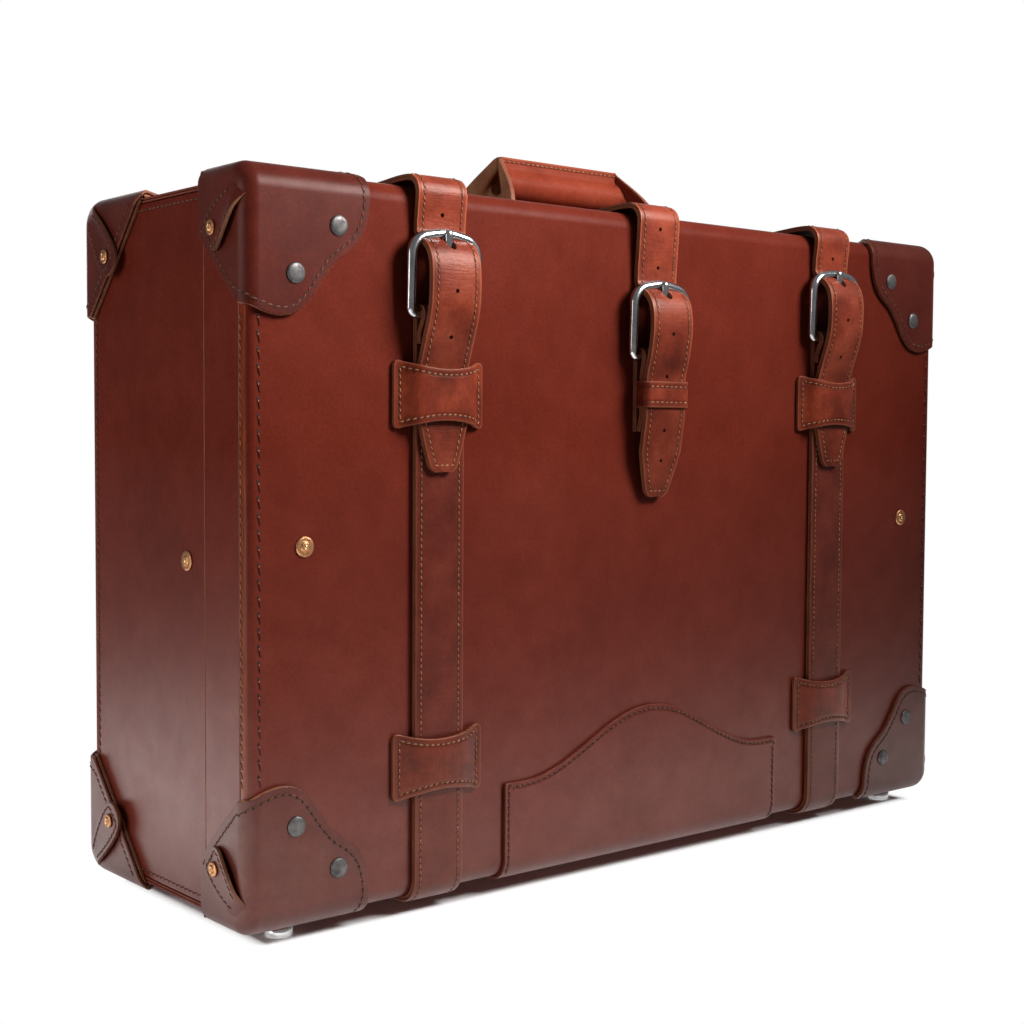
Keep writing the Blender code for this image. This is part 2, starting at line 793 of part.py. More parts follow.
def make_lower_strap(name, x, lid):
    corner = EDGE_RADIUS + LYING
    rise = rounded(((LID_DEPTH, -LYING), (-LYING, -LYING), (-LYING, SIDE_HEEL)), (0, corner, 0))
    fold_end = SIDE_HEEL - FOLD_LENGTH
    path = rise[:-1] + fold_points(SIDE_HEEL, FOLD_SLANT, SECOND)
    path.append(Vector((-SECOND, fold_end)))
    obj = strip(name, path, [STRAP_WIDTH / 2] * len(path), STRAP, x)
    cut(obj, fold_slot(f"{name}_slot", x, SIDE_HEEL, lid))
    return finish(obj, "strap_leather", lid)


def make_middle_chape(lid):
    loop_low = LOOP_CENTRE - LOOP_HEIGHT / 2 - LOOP_TRAVEL - LOOP_PLAY
    path = [Vector((-LYING, CHAPE_BOTTOM))] + fold_points(MIDDLE_HEEL, LOOP_SLANT, LOOP_FRONT_LAYER)
    path += [
        Vector((-LOOP_FRONT_LAYER, loop_low)),
        Vector((-SECOND, CHAPE_BOTTOM + GAP)),
    ]
    obj = strip("middle_chape", path, [STRAP_WIDTH / 2] * len(path), STRAP)
    cut(obj, fold_slot("middle_chape_slot", 0, MIDDLE_HEEL, lid))
    return finish(obj, "strap_leather", lid)


def make_strap_back(name, x, case):
    # Over the base's top, down its back and under its bottom.
    top = BASE_TOP + LYING
    back = CASE_DEPTH + LYING
    radius = EDGE_RADIUS + LYING
    rim = LID_DEPTH + GAP
    corners = [
        (rim, CASE_HEIGHT + LYING),
        (rim + RAMP, top),
        (back, top),
        (back, -LYING),
        (rim, -LYING),
    ]
    path = rounded(corners, (0, 2 * RAMP, radius, radius, 0))
    obj = strip(name, path, [STRAP_WIDTH / 2] * len(path), STRAP, x)
    return finish(obj, "strap_leather", case)


def make_middle_back(case):
    top = BASE_TOP + LYING
    rim = LID_DEPTH + GAP
    corners = [(rim, CASE_HEIGHT + LYING), (rim + RAMP, top), (MIDDLE_END, top)]
    path = rounded(corners, (0, 2 * RAMP, 0))
    obj = strip("middle_strap_end", path, [STRAP_WIDTH / 2] * len(path), STRAP)
    return finish(obj, "strap_leather", case)


# Buckles
def make_buckle(name, x, heel, lid):
    # The frame turns about its heel bar, and the prong turns about the same bar.
    lean = (HEEL_OUT - BAR_OUT) / BUCKLE_REACH
    half = STRAP_WIDTH / 2 + BUCKLE_SIDE_PLAY + WIRE
    corner_drop = BUCKLE_REACH - BUCKLE_ARCH
    outline = rounded(
        ((-half, 0), (half, 0), (half, corner_drop), (0, BUCKLE_REACH), (-half, corner_drop)),
        (HEEL_CORNER, HEEL_CORNER, BUCKLE_CORNER, half * 2, BUCKLE_CORNER),
        closed=True,
    )
    axis = Vector((x, -HEEL_OUT, heel))
    points = [axis + Vector((a, lean * b, b)) for a, b in outline]
    frame = wire(f"buckle_frame_{name}", points, WIRE, True)
    finish(frame, "polished_steel", lid, axis)
    end = math.pi
    eye = arc((-HEEL_OUT, heel), EYE_RADIUS, end + EYE_TURN, end, 12)
    tip = heel + BUCKLE_REACH + PRONG_OVER
    spine = eye + [Vector((-prong_out(tip, heel), tip))]
    prong = wire(f"buckle_prong_{name}", [(x, y, z) for y, z in spine], PRONG, False)
    finish(prong, "polished_steel", frame, axis)


# Keepers
def make_keeper(name, x, centre, stack, lid):
    # A stitched loop: flat wings on the lid and a bridge over the straps, drawn in at its waist.
    half = KEEPER_LEATHER / 2
    flat = GAP + half
    over = stack + KEEPER_OVER_PLAY + half
    inner = STRAP_WIDTH / 2 + KEEPER_SIDE_PLAY + half
    edge = KEEPER_WIDTH / 2
    corners = (
        (-edge, -flat),
        (-inner - KEEPER_FLARE, -flat),
        (-inner, -over),
        (inner, -over),
        (inner + KEEPER_FLARE, -flat),
        (edge, -flat),
    )
    bend = KEEPER_BEND
    path = rounded(corners, (0, bend, bend, bend, bend, 0), steps=3)
    middle = len(path) // 2
    bridge = [Vector((inner * share, -over)) for share in (-0.6, -0.3, 0, 0.3, 0.6)]
    path = path[:middle] + bridge + path[middle:]

    def surface(row, share):
        a, b = path[row]
        tall = KEEPER_HEIGHT / 2 - KEEPER_WAIST * max(0.0, 1 - (a / edge) ** 2)
        return Vector((x + a, b, centre + (2 * share - 1) * tall))

    obj = sheet(name, len(path) - 1, 1, surface, KEEPER_LEATHER)
    return finish(obj, "strap_leather", lid)


def make_loop(lid):
    # The loose keeper goes round the billet and the front layer of the chape.
    inner_half = STRAP_WIDTH / 2 + LOOP_PLAY
    inner_back = -(GAP + STRAP + LOOP_PLAY + LOOP_LEATHER)
    inner_front = -(LOOP_FRONT_LAYER + STRAP / 2 + GAP + STRAP + LOOP_PLAY)
    outlines = []
    for grow in (LOOP_LEATHER, 0):
        half = inner_half + grow
        back = inner_back + grow
        front = inner_front - grow
        radius = LOOP_PLAY + grow
        corners = ((-half, front), (half, front), (half, back), (-half, back))
        outlines.append(rounded(corners, [radius] * 4, closed=True, steps=3))
    axis = Vector((0, 0, LOOP_CENTRE))
    ring = flat_curve("middle_keeper", outlines, LOOP_HEIGHT, frame_from(axis, (1, 0, 0), (0, 1, 0)))
    finish(ring, "strap_leather", lid, axis)


# Scalloped panel and the hinge leaf behind it
def make_panel(lid, case):
    lying = GAP + PANEL_LEATHER / 2
    corner = EDGE_RADIUS + lying
    path = rounded(((LID_DEPTH, -lying), (-lying, -lying), (-lying, PANEL_SHOULDER)), (0, corner, 0))[:-1]
    half = PANEL_WIDTH / 2
    rows_up = 3

    def surface(row, share):
        x = (2 * share - 1) * half
        if row < len(path):
            y, z = path[row]
            return Vector((x, y, z))
        bell = 0.5 * (1 + math.cos(math.pi * min(1.0, abs(x) / PANEL_BELL)))
        top = PANEL_SHOULDER + (PANEL_APEX - PANEL_SHOULDER) * bell
        start = path[-1][1]
        mix = (row - len(path) + 1) / rows_up
        return Vector((x, -lying, start + (top - start) * mix))

    panel = sheet("scalloped_panel", len(path) - 1 + rows_up, 24, surface, PANEL_LEATHER)
    finish(panel, "body_leather", lid)
    rim = LID_DEPTH + GAP
    leaf = block("hinge_leaf", (-half, rim, -GAP - PANEL_LEATHER), (half, rim + HINGE_LEAF, -GAP))
    finish(leaf, "body_leather", case)


# Handle
def roll_turn(along):
    # The direction of the rolled leather at a length from its middle: round the grip, then up into the seam.
    seam_half = HANDLE_LEATHER / 2 + GAP
    turn = math.pi - math.asin((seam_half + GRIP_NECK) / (GRIP_RADIUS + GRIP_NECK))
    if along <= GRIP_RADIUS * turn:
        return along / GRIP_RADIUS
    neck = (along - GRIP_RADIUS * turn) / GRIP_NECK
    return max(math.pi / 2, turn - neck)


def roll_length():
    seam_half = HANDLE_LEATHER / 2 + GAP
    turn = math.pi - math.asin((seam_half + GRIP_NECK) / (GRIP_RADIUS + GRIP_NECK))
    return GRIP_RADIUS * turn + GRIP_NECK * (turn - math.pi / 2) + GRIP_FIN


def roll_section(curl, share):
    # A point of the cross-section, from flat at curl 0 to the closed grip at curl 1.
    length = abs(2 * share - 1) * roll_length()
    side = 1 if share >= 0.5 else -1
    steps = 60
    aside, up = 0.0, 0.0
    for step in range(steps):
        turn = curl * roll_turn((step + 0.5) * length / steps)
        aside += math.cos(turn) * length / steps
        up += math.sin(turn) * length / steps
    return side * aside, up


def make_handle(case):
    # One wide strap whose middle is rolled up into a grip with the seam on top.
    stations = np.concatenate(
        (
            (-HANDLE_HALF,),
            np.linspace(-ROLL_HALF, -GRIP_HALF, 9),
            (-GRIP_HALF / 3, GRIP_HALF / 3),
            np.linspace(GRIP_HALF, ROLL_HALF, 9),
            (HANDLE_HALF,),
        )
    )
    lying = BASE_TOP + GAP + HANDLE_LEATHER / 2

    def surface(row, share):
        x = stations[row]
        open_share = (ROLL_HALF - abs(x)) / (ROLL_HALF - GRIP_HALF)
        curl = min(1.0, max(0.0, open_share)) ** ROLL_EASE
        aside, up = roll_section(curl, share)
        return Vector((x, HANDLE_PLACE + aside, lying + HANDLE_RISE * curl**RISE_EASE + up))

    obj = sheet("handle", len(stations) - 1, 20, surface, HANDLE_LEATHER)
    smooth(obj, 50)
    finish(obj, "strap_leather", case)


def stand_on_floor(case):
    # Moves the whole case so that its feet stand on Z = 0 around the middle of its outline.
    bpy.context.view_layer.update()
    graph = bpy.context.evaluated_depsgraph_get()
    points = []
    for obj in PARTS.objects:
        if obj.type == "MESH":
            evaluated = obj.evaluated_get(graph)
            points += [evaluated.matrix_world @ Vector(corner) for corner in evaluated.bound_box]
    points = np.array(points)
    low = points.min(axis=0)
    high = points.max(axis=0)
    case.location = (-(low[0] + high[0]) / 2, -(low[1] + high[1]) / 2, -low[2])
    bpy.context.view_layer.update()
    print("size", np.round(high - low, 5))


def main():
    case = new_empty("case", (0, 0, 0))
    lid = new_empty("lid_hinge", HINGE, case)
    make_lid_walls(lid)
    make_base_walls(case)
    make_caps(lid, case)
    make_rivets(lid, case)
    make_feet(lid, case)
    make_panel(lid, case)
    for side, hand in ((-1, "left"), (1, "right")):
        x = side * STRAP_SPACING
        make_billet(f"billet_{hand}", x, SIDE_HEEL, SIDE_TIP, False, lid)
        make_lower_strap(f"lower_strap_{hand}", x, lid)
        make_strap_back(f"strap_back_{hand}", x, case)
        make_buckle(hand, x, SIDE_HEEL, lid)
        make_keeper(f"upper_keeper_{hand}", x, UPPER_KEEPER, SECOND + STRAP / 2, lid)
        make_keeper(f"lower_keeper_{hand}", x, LOWER_KEEPER, LYING + STRAP / 2, lid)
    make_billet("billet_middle", 0, MIDDLE_HEEL, MIDDLE_TIP, True, lid)
    make_middle_chape(lid)
    make_middle_back(case)
    make_buckle("middle", 0, MIDDLE_HEEL, lid)
    make_loop(lid)
    make_handle(case)
    stand_on_floor(case)
    for name in ("lid_hinge", "buckle_frame_left", "buckle_frame_middle", "buckle_frame_right", "middle_keeper"):
        print(name, [round(value, 5) for value in bpy.data.objects[name].matrix_world.translation])


main()
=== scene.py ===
import math

import bmesh
import bpy
import numpy as np
from mathutils import Matrix, Vector


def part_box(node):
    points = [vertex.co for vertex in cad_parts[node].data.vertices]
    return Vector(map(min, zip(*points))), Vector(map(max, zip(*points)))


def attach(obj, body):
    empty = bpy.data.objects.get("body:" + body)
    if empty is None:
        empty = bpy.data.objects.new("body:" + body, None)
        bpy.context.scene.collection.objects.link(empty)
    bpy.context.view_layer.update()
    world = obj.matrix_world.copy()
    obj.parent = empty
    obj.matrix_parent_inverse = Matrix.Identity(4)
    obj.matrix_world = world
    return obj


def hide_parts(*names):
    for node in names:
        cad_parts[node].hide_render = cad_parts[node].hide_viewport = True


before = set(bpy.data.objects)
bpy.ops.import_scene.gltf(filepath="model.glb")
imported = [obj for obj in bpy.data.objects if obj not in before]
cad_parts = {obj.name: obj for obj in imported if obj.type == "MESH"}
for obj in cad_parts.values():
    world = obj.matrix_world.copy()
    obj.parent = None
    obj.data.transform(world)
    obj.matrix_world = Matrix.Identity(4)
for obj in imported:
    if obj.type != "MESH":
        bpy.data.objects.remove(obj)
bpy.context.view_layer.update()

scene = bpy.context.scene
scene.view_settings.view_transform = "Standard"

# The case's own sizes come from its packed walls. Pieces are modelled from the front bottom edge's middle.
lidLow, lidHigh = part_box("lid_wrap")
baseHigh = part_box("base_wrap")[1]
home = Vector((0, lidLow.y, lidLow.z))
case = {
    "half": lidHigh.x, "height": lidHigh.z - home.z, "lidDepth": lidHigh.y - home.y,
    "baseHalf": baseHigh.x, "baseTop": baseHigh.z - home.z, "depth": baseHigh.y - home.y,
    "wall": 0.0034, "edge": 0.013, "tongue": 0.022, "relief": 0.012, "gap": 0.0003,
}
hands = ((-1, "left"), (1, "right"))
gap = case["gap"]
tall = case["height"]
proud = 0.0001  # how far seams lie off the leather
near = 1e-6  # points closer than this count as one
quarter = math.pi / 2


def setAll(thing, **settings):
    for key, value in settings.items():
        setattr(thing, key, value)
    return thing


# Materials
class Nodes:
    # A node tree with short ways to add nodes and link them.
    def __init__(self, tree):
        self.tree = tree

    def put(self, socket, value):
        if isinstance(value, bpy.types.NodeSocket):
            self.tree.links.new(value, socket)
        else:
            socket.default_value = (*value[:3], 1) if socket.type == "RGBA" else value

    def add(self, kind, inputs=(), **settings):
        node = setAll(self.tree.nodes.new(kind), **settings)
        for key, value in dict(inputs).items():
            self.put(node.inputs[key], value)
        return node

    def maths(self, operation, a, b=0.0):
        return self.add("ShaderNodeMath", {0: a, 1: b}, operation=operation).outputs[0]

    def times(self, a, b):
        return self.maths("MULTIPLY", a, b)

    def most(self, a, b):
        return self.maths("MAXIMUM", a, b)

    def span(self, value, low, high, start=0.0, end=1.0):
        inputs = {"Value": value, "From Min": low, "From Max": high, "To Min": start, "To Max": end}
        return self.add("ShaderNodeMapRange", inputs).outputs["Result"]

    def axis(self, where, name):
        return self.add("ShaderNodeSeparateXYZ", {0: where}).outputs[name]

    def noise(self, where, scale, detail=4.0, rough=0.6):
        inputs = {"Vector": where, "Scale": scale, "Detail": detail, "Roughness": rough}
        return self.add("ShaderNodeTexNoise", inputs).outputs["Fac"]

    def streaks(self, where, scales, detail, rough):
        drawn = self.add("ShaderNodeMapping", {"Vector": where, "Scale": scales}).outputs["Vector"]
        return self.noise(drawn, 1.0, detail, rough)

    def weave(self, where, scale, distortion):
        inputs = {"Vector": where, "Scale": scale, "Distortion": distortion}
        return self.add("ShaderNodeTexWave", inputs, bands_direction="DIAGONAL").outputs["Fac"]

    def ramp(self, value, *stops):
        node = self.add("ShaderNodeValToRGB", {"Fac": value})
        elements = node.color_ramp.elements
        while len(elements) < len(stops):
            elements.new(0.5)
        for element, (place, colour) in zip(elements, stops):
            element.position = place
            element.color = (*colour, 1)
        return node.outputs["Color"]

    def mix(self, share, first, second, kind="MIX"):
        inputs = {"Factor": share, 6: first, 7: second}
        return self.add("ShaderNodeMix", inputs, data_type="RGBA", blend_type=kind).outputs[2]

    def shade(self, colour, value, low, high, dark, share=1.0):
        # The colour made darker where the value is low.
        return self.mix(share, colour, self.ramp(value, (low, (dark,) * 3), (high, (1.0,) * 3)), "MULTIPLY")

    def bump(self, height, strength, distance, below=None):
        inputs = {"Height": height, "Strength": strength, "Distance": distance}
        if below is not None:
            inputs["Normal"] = below
        return self.add("ShaderNodeBump", inputs).outputs["Normal"]


class Surface(Nodes):
    # A new material with its shader and its Object coordinates.
    def __init__(self, name):
        self.material = bpy.data.materials.new(name)
        self.material.use_nodes = True
        super().__init__(self.material.node_tree)
        self.shader = self.tree.nodes["Principled BSDF"]
        self.where = self.add("ShaderNodeTexCoord").outputs["Object"]

    def feed(self, values):
        for key, value in values.items():
            self.put(self.shader.inputs[key], value)
        return self.material


grainScale = {"blot": 55, "speck": 420, "scratch": (34, 34, 420), "wave": 16, "fine": 700, "gloss": 42,
              "crease": (70, 560, 1), "fibre": (300, 900, 34)}
wear = {"fade": (0.33, 0.46), "polish": (0.06, 0.30), "band": (0.0014, 0.0006), "crease": (0.004, 0.009),
        "dip": 0.0016, "burnish": 0.008, "worn": 0.0016, "fray": 0.0003}


def leather(name, look):
    # Cloudy colour, fine pores and a slow unevenness. Straps also get creases and a pressed stitch line, both
    # darkened with painted shade.
    s = Surface(name)
    height = s.axis(s.where, "Z")
    dark = look["dark"]
    cloud = s.noise(s.where, look["cloud"], 5.0, 0.62)
    colour = s.ramp(cloud, (0.30, dark), (0.52, look["tone"]), (0.74, look["light"]))
    blot = s.noise(s.where, grainScale["blot"], 4.0, 0.7)
    colour = s.shade(colour, blot, 0.30, 0.70, 0.85)
    speck = s.noise(s.where, grainScale["speck"], 5.0, 0.75)
    colour = s.shade(colour, speck, 0.30, 0.70, 0.72)
    scratch = s.streaks(s.where, grainScale["scratch"], 3.0, 0.5)
    colour = s.mix(s.span(scratch, 0.70, 0.85, 0.0, 0.25), colour, look["light"])
    pores = s.add("ShaderNodeTexVoronoi", {"Vector": s.where, "Scale": look["pores"]}).outputs["Distance"]
    normal = s.bump(s.noise(s.where, grainScale["wave"], 2.0, 0.5), 0.35, look["wave"])
    normal = s.bump(pores, look["grain"], 0.00025, normal)
    normal = s.bump(s.noise(s.where, grainScale["fine"]), look["grain"], 0.0003, normal)
    gloss = s.noise(s.where, grainScale["gloss"], 5.0, 0.65)
    if look.get("strap"):
        edge, run = (s.add("ShaderNodeUVMap", uv_map=layer).outputs["UV"] for layer in ("edge", "run"))
        inward = s.axis(edge, "X")
        crease = s.streaks(run, grainScale["crease"], 4.0, 0.6)
        normal = s.bump(crease, s.span(inward, *wear["crease"], 0.0, look["crease"]), 0.0010, normal)
        dip = s.span(s.maths("ABSOLUTE", s.maths("SUBTRACT", inward, look["stitch"])), 0.0, wear["dip"])
        normal = s.bump(dip, 0.30, 0.0006, normal)
        # painted shade: darker along the pressed stitch groove
        colour = s.mix(s.span(dip, 0.0, 1.0, 0.42, 0.0), colour, dark)
        # painted shade: darker in the valleys of the creases
        colour = s.mix(s.span(crease, 0.42, 0.22, 0.0, 0.4), colour, dark)
        if "burnish" in look:
            colour = s.mix(s.span(inward, 0.0, wear["burnish"], look["burnish"], 0.0), colour, dark)
        frayed = s.maths("ADD", inward, s.span(speck, 0.3, 0.7, -wear["fray"], wear["fray"]))
        colour = s.mix(s.span(frayed, 0.0, wear["worn"], look["worn"], 0.0), colour, look["edge"])
    if "band" in look:  # the rubbed margin that is bent round on to the lid's sides
        fibre = s.streaks(s.where, grainScale["fibre"], 4.0, 0.7)
        bare = s.ramp(fibre, (0.32, dark), (0.48, look["band"][0]), (0.68, look["band"][1]))
        start, end = (case["half"] - inset for inset in wear["band"])
        colour = s.mix(s.span(s.maths("ABSOLUTE", s.axis(s.where, "X")), start, end), colour, bare)
    if "fade" in look:  # painted light: straps are lighter near the top and darker low down, as the light falls on them
        colour = s.mix(1.0, colour, s.span(height, *wear["fade"], *look["fade"]), "MULTIPLY")
    polish = s.span(height, *wear["polish"], *look["polish"])  # wax has stayed on low down
    return s.feed({
        "Base Color": colour, "Normal": normal, "Specular Tint": look["tint"],
        "Roughness": s.span(gloss, 0.3, 0.75, look["rough"] - 0.03, look["rough"] + 0.06),
        "Specular IOR Level": s.times(polish, s.span(blot, 0.3, 0.7, 0.88, 1.12)),
    })


def rawEdge(name, dark, light):
    # Cut edges: pale fibres in layers, darkened by handling.
    s = Surface(name)
    fibre = s.noise(s.where, 900, 5.0, 0.7)
    patch = s.noise(s.where, 45)
    colour = s.mix(s.span(patch, 0.4, 0.7, 0.0, 0.7), s.ramp(fibre, (0.25, dark), (0.7, light)), dark)
    return s.feed({"Base Color": colour, "Normal": s.bump(fibre, 0.6, 0.0004), "Specular IOR Level": 0.3,
                   "Roughness": s.span(patch, 0.3, 0.7, 0.55, 0.8)})


def threadMaterial(name, dark, light):
    # Waxed thread with a twist.
    s = Surface(name)
    twist = s.weave(s.where, 520, 2.0)
    soil = s.noise(s.where, 120)
    # painted shade: the twist's grooves are darkened to match its bump
    colour = s.shade(s.ramp(soil, (0.35, dark), (0.65, light)), twist, 0.2, 0.7, 0.55, 0.35)
    return s.feed({"Base Color": colour, "Normal": s.bump(twist, 0.5, 0.0002), "Specular IOR Level": 0.2,
                   "Roughness": s.span(soil, 0.3, 0.7, 0.45, 0.65)})


def metalMaterial(name, dark, light, rough, scale):
    # Polished or tarnished metal: faint blotches, hairline scratches.
    s = Surface(name)
    stain = s.noise(s.where, scale, 5.0)
    hair = s.streaks(s.where, (1500, 160, 900), 2.0, 0.5)
    colour = s.ramp(stain, (0.35, dark), (0.62, light))
    return s.feed({"Base Color": colour, "Normal": s.bump(hair, 0.05, 0.0001), "Metallic": 1.0,
                   "Roughness": s.span(stain, 0.3, 0.7, rough * 1.7, rough * 0.8)})


def liningMaterial(name, dark, light):
    # Brushed cotton drill in a sand colour.
    s = Surface(name)
    warp = s.weave(s.where, 260, 0.6)
    nap = s.noise(s.where, 500, 4.0, 0.7)
    # painted shade: the weave's grooves are darkened to match its bump
    colour = s.shade(s.ramp(s.noise(s.where, 10), (0.35, dark), (0.65, light)), warp, 0.2, 0.8, 0.70, 0.4)
    return s.feed({"Base Color": colour, "Normal": s.bump(nap, 0.3, 0.0004, s.bump(warp, 0.5, 0.0003)),
                   "Specular IOR Level": 0.2, "Sheen Weight": 0.25,
                   "Roughness": s.span(nap, 0.3, 0.7, 0.78, 0.95)})


bodyLook = {
    "dark": (0.138, 0.0190, 0.0102), "tone": (0.166, 0.0238, 0.0128), "light": (0.190, 0.0295, 0.0165),
    "cloud": 7.0, "pores": 1500, "grain": 0.10, "wave": 0.0016, "rough": 0.36, "polish": (0.58, 0.03),
    "tint": (1.0, 0.77, 0.69),
}
wrapLook = dict(bodyLook, band=((0.180, 0.0300, 0.0110), (0.330, 0.0620, 0.0200)))
capLook = {
    "dark": (0.076, 0.0112, 0.0078), "tone": (0.112, 0.0166, 0.0102), "light": (0.146, 0.0232, 0.0142),
    "cloud": 16.0, "pores": 1300, "grain": 0.12, "wave": 0.0014, "rough": 0.38, "polish": (0.60, 0.13),
    "tint": (1.0, 0.77, 0.69),
}
strapLook = {
    "dark": (0.105, 0.0145, 0.0075), "tone": (0.222, 0.0360, 0.0172), "light": (0.345, 0.0670, 0.0330),
    "edge": (0.400, 0.1250, 0.0580), "cloud": 30.0, "pores": 1200, "grain": 0.16, "wave": 0.0012,
    "rough": 0.35, "polish": (0.50, 0.18), "fade": (0.82, 1.45), "tint": (1.0, 0.70, 0.58), "strap": True,
    "worn": 0.62, "stitch": 0.0042, "crease": 0.26,
}
lowerLook = dict(
    strapLook, dark=(0.095, 0.0145, 0.0085), tone=(0.155, 0.0250, 0.0150), light=(0.195, 0.0360, 0.0215),
    edge=(0.290, 0.0800, 0.0400), crease=0.16, fade=(0.96, 1.0),
)
keeperLook = dict(
    strapLook, dark=(0.085, 0.0120, 0.0065), tone=(0.212, 0.0322, 0.0146), light=(0.360, 0.0620, 0.0265),
    cloud=34.0, burnish=0.55, worn=0.36, fade=(1.02, 1.30),
)
handleLook = dict(
    strapLook, dark=(0.190, 0.0280, 0.0140), tone=(0.280, 0.0450, 0.0220), light=(0.335, 0.0600, 0.0300),
    cloud=18.0, crease=0.2, rough=0.44, polish=(0.04, 0.04), fade=(1.0, 1.0),
)
panelLook = dict(bodyLook, strap=True, stitch=0.0032, crease=0.08, worn=0.45, edge=(0.190, 0.0420, 0.0260))

finish = {
    "body": leather("MahoganyLeather", bodyLook),
    "wrap": leather("WrappedLeather", wrapLook),
    "cap": leather("MouldedCapLeather", capLook),
    "strap": leather("StrapLeather", strapLook),
    "lower": leather("LowerStrapLeather", lowerLook),
    "keeper": leather("KeeperLeather", keeperLook),
    "handle": leather("HandleLeather", handleLook),
    "panel": leather("ScallopedLeather", panelLook),
    "edge": rawEdge("CutLeatherEdge", (0.120, 0.0300, 0.0140), (0.330, 0.1100, 0.0500)),
    "flesh": rawEdge("LeatherFlesh", (0.200, 0.0620, 0.0260), (0.500, 0.2250, 0.1000)),
    "bodyEdge": rawEdge("BurnishedEdge", (0.120, 0.0200, 0.0110), (0.220, 0.0560, 0.0270)),
    "capEdge": rawEdge("CapEdge", (0.150, 0.0430, 0.0230), (0.360, 0.1380, 0.0700)),
    "tabEdge": rawEdge("TabEdge", (0.120, 0.0380, 0.0210), (0.400, 0.1700, 0.0880)),
    "tan": threadMaterial("TanThread", (0.240, 0.1000, 0.0450), (0.430, 0.2050, 0.1000)),
    "brown": threadMaterial("BrownThread", (0.090, 0.0290, 0.0150), (0.230, 0.0880, 0.0430)),
    "dark": threadMaterial("DarkThread", (0.022, 0.0060, 0.0040), (0.060, 0.0170, 0.0100)),
    "needle": rawEdge("NeedleHole", (0.014, 0.004, 0.003), (0.030, 0.010, 0.007)),
    "nickel": metalMaterial("PolishedNickel", (0.36, 0.36, 0.37), (0.54, 0.54, 0.55), 0.15, 90),
    "gunmetal": metalMaterial("DarkDome", (0.086, 0.080, 0.078), (0.142, 0.133, 0.129), 0.46, 180),
    "copper": metalMaterial("CopperBurr", (0.260, 0.110, 0.050), (0.520, 0.260, 0.120), 0.38, 400),
    "brass": metalMaterial("BrassCentre", (0.480, 0.310, 0.130), (0.720, 0.520, 0.260), 0.28, 500),
    "foot": metalMaterial("BrightFoot", (0.62, 0.62, 0.62), (0.80, 0.80, 0.80), 0.20, 120),
    "lining": liningMaterial("LiningDrill", (0.30, 0.185, 0.105), (0.43, 0.285, 0.170)),
}
print("materials ready", len(finish))


# Modelling helpers
def rounded(corners, radii, closed=False, steps=10):
    # Corners of a path with each one replaced by an arc of its radius, or less where room is short.
    path = []
    count = len(corners)
    for index, (corner, radius) in enumerate(zip(corners, radii)):
        here = Vector(corner)
        if radius <= 0 or (not closed and index in (0, count - 1)):
            path.append(here)
            continue
        back = Vector(corners[index - 1]) - here
        ahead = Vector(corners[(index + 1) % count]) - here
        half = back.angle(ahead) / 2
        reach = min(radius / math.tan(half), min(back.length, ahead.length) / 2)
        back.normalize()
        ahead.normalize()
        centre = here + (back + ahead).normalized() * reach / math.cos(half)
        first = here + back * reach - centre
        last = here + ahead * reach - centre
        turn = first.angle(last)
        for mix in (step / steps for step in range(steps + 1)):
            swung = first * math.sin((1 - mix) * turn) + last * math.sin(mix * turn)
            path.append(centre + swung / math.sin(turn))
    return path


def arcPoints(centre, radius, start, end, steps):
    angles = np.linspace(start, end, steps + 1)
    return [Vector((centre[0] + radius * math.cos(a), centre[1] + radius * math.sin(a))) for a in angles]


def lengths(path):
    return np.concatenate(((0.0,), np.cumsum([(b - a).length for a, b in zip(path, path[1:])])))


def eased(path, step=0.0015, rounds=6):
    # The path in even short steps, its corners relaxed as leather relaxes them. The ends stay.
    run = lengths(path)
    count = max(4, round(run[-1] / step))
    even = np.linspace(0, run[-1], count + 1)
    flat = np.stack([np.interp(even, run, column) for column in np.array([tuple(p) for p in path]).T], 1)
    for turn in range(rounds):
        flat[1:-1] = (flat[:-2] + 2 * flat[1:-1] + flat[2:]) / 4
    return [Vector(row) for row in flat]


def finer(path, step):
    # More rows on long straight stretches, so that widths and creases have room.
    rows = [path[0]]
    for a, b in zip(path, path[1:]):
        parts = max(1, int((b - a).length / step))
        rows += [a + (b - a) * (k / parts) for k in range(1, parts + 1)]
    return rows


def outwards(path, side):
    # Unit directions off a path, on its outer side.
    found = []
    for index in range(len(path)):
        t = (path[min(index + 1, len(path) - 1)] - path[max(index - 1, 0)]).normalized()
        found.append(Vector((t.y, -t.x)) * side)
    return found


def camel(name):
    first, *rest = name.split("_")
    return first + "".join(word.capitalize() for word in rest)


def place3(x, flat):
    return Vector((x, flat.x, flat.y))


def link(name, data):
    obj = bpy.data.objects.new(name, data)
    scene.collection.objects.link(obj)
    return obj


def objectFrom(name, bm, *materials):
    mesh = bpy.data.meshes.new(name)
    bm.to_mesh(mesh)
    bm.free()
    for material in materials:
        mesh.materials.append(material)
    mesh.polygons.foreach_set("use_smooth", [True] * len(mesh.polygons))
    return link(name, mesh)


def block(low, high):
    bm = bmesh.new()
    bmesh.ops.create_cube(bm, size=1)
    bmesh.ops.scale(bm, verts=bm.verts, vec=Vector(high) - Vector(low))
    bmesh.ops.translate(bm, verts=bm.verts, vec=(Vector(high) + Vector(low)) / 2)
    return bm


def pushOut(bm, push, extrude=bmesh.ops.extrude_face_region, **what):
    # Carries faces or edges along, which makes a solid of a flat outline or a band of a ring.
    made = extrude(bm, **(what or {"geom": bm.faces[:]}))["geom"]
    bmesh.ops.translate(bm, verts=[v for v in made if isinstance(v, bmesh.types.BMVert)], vec=push)
    bmesh.ops.recalc_face_normals(bm, faces=bm.faces)


def within(item, axis, level):
    return all(abs(v.co[axis] - level) < near for v in item.verts)


def roundEdges(bm, edges, radius, segments):
    bmesh.ops.bevel(bm, geom=edges, offset=radius, offset_type="OFFSET", segments=segments, profile=0.5,
                    affect="EDGES", material=-1)
    bmesh.ops.recalc_face_normals(bm, faces=bm.faces)


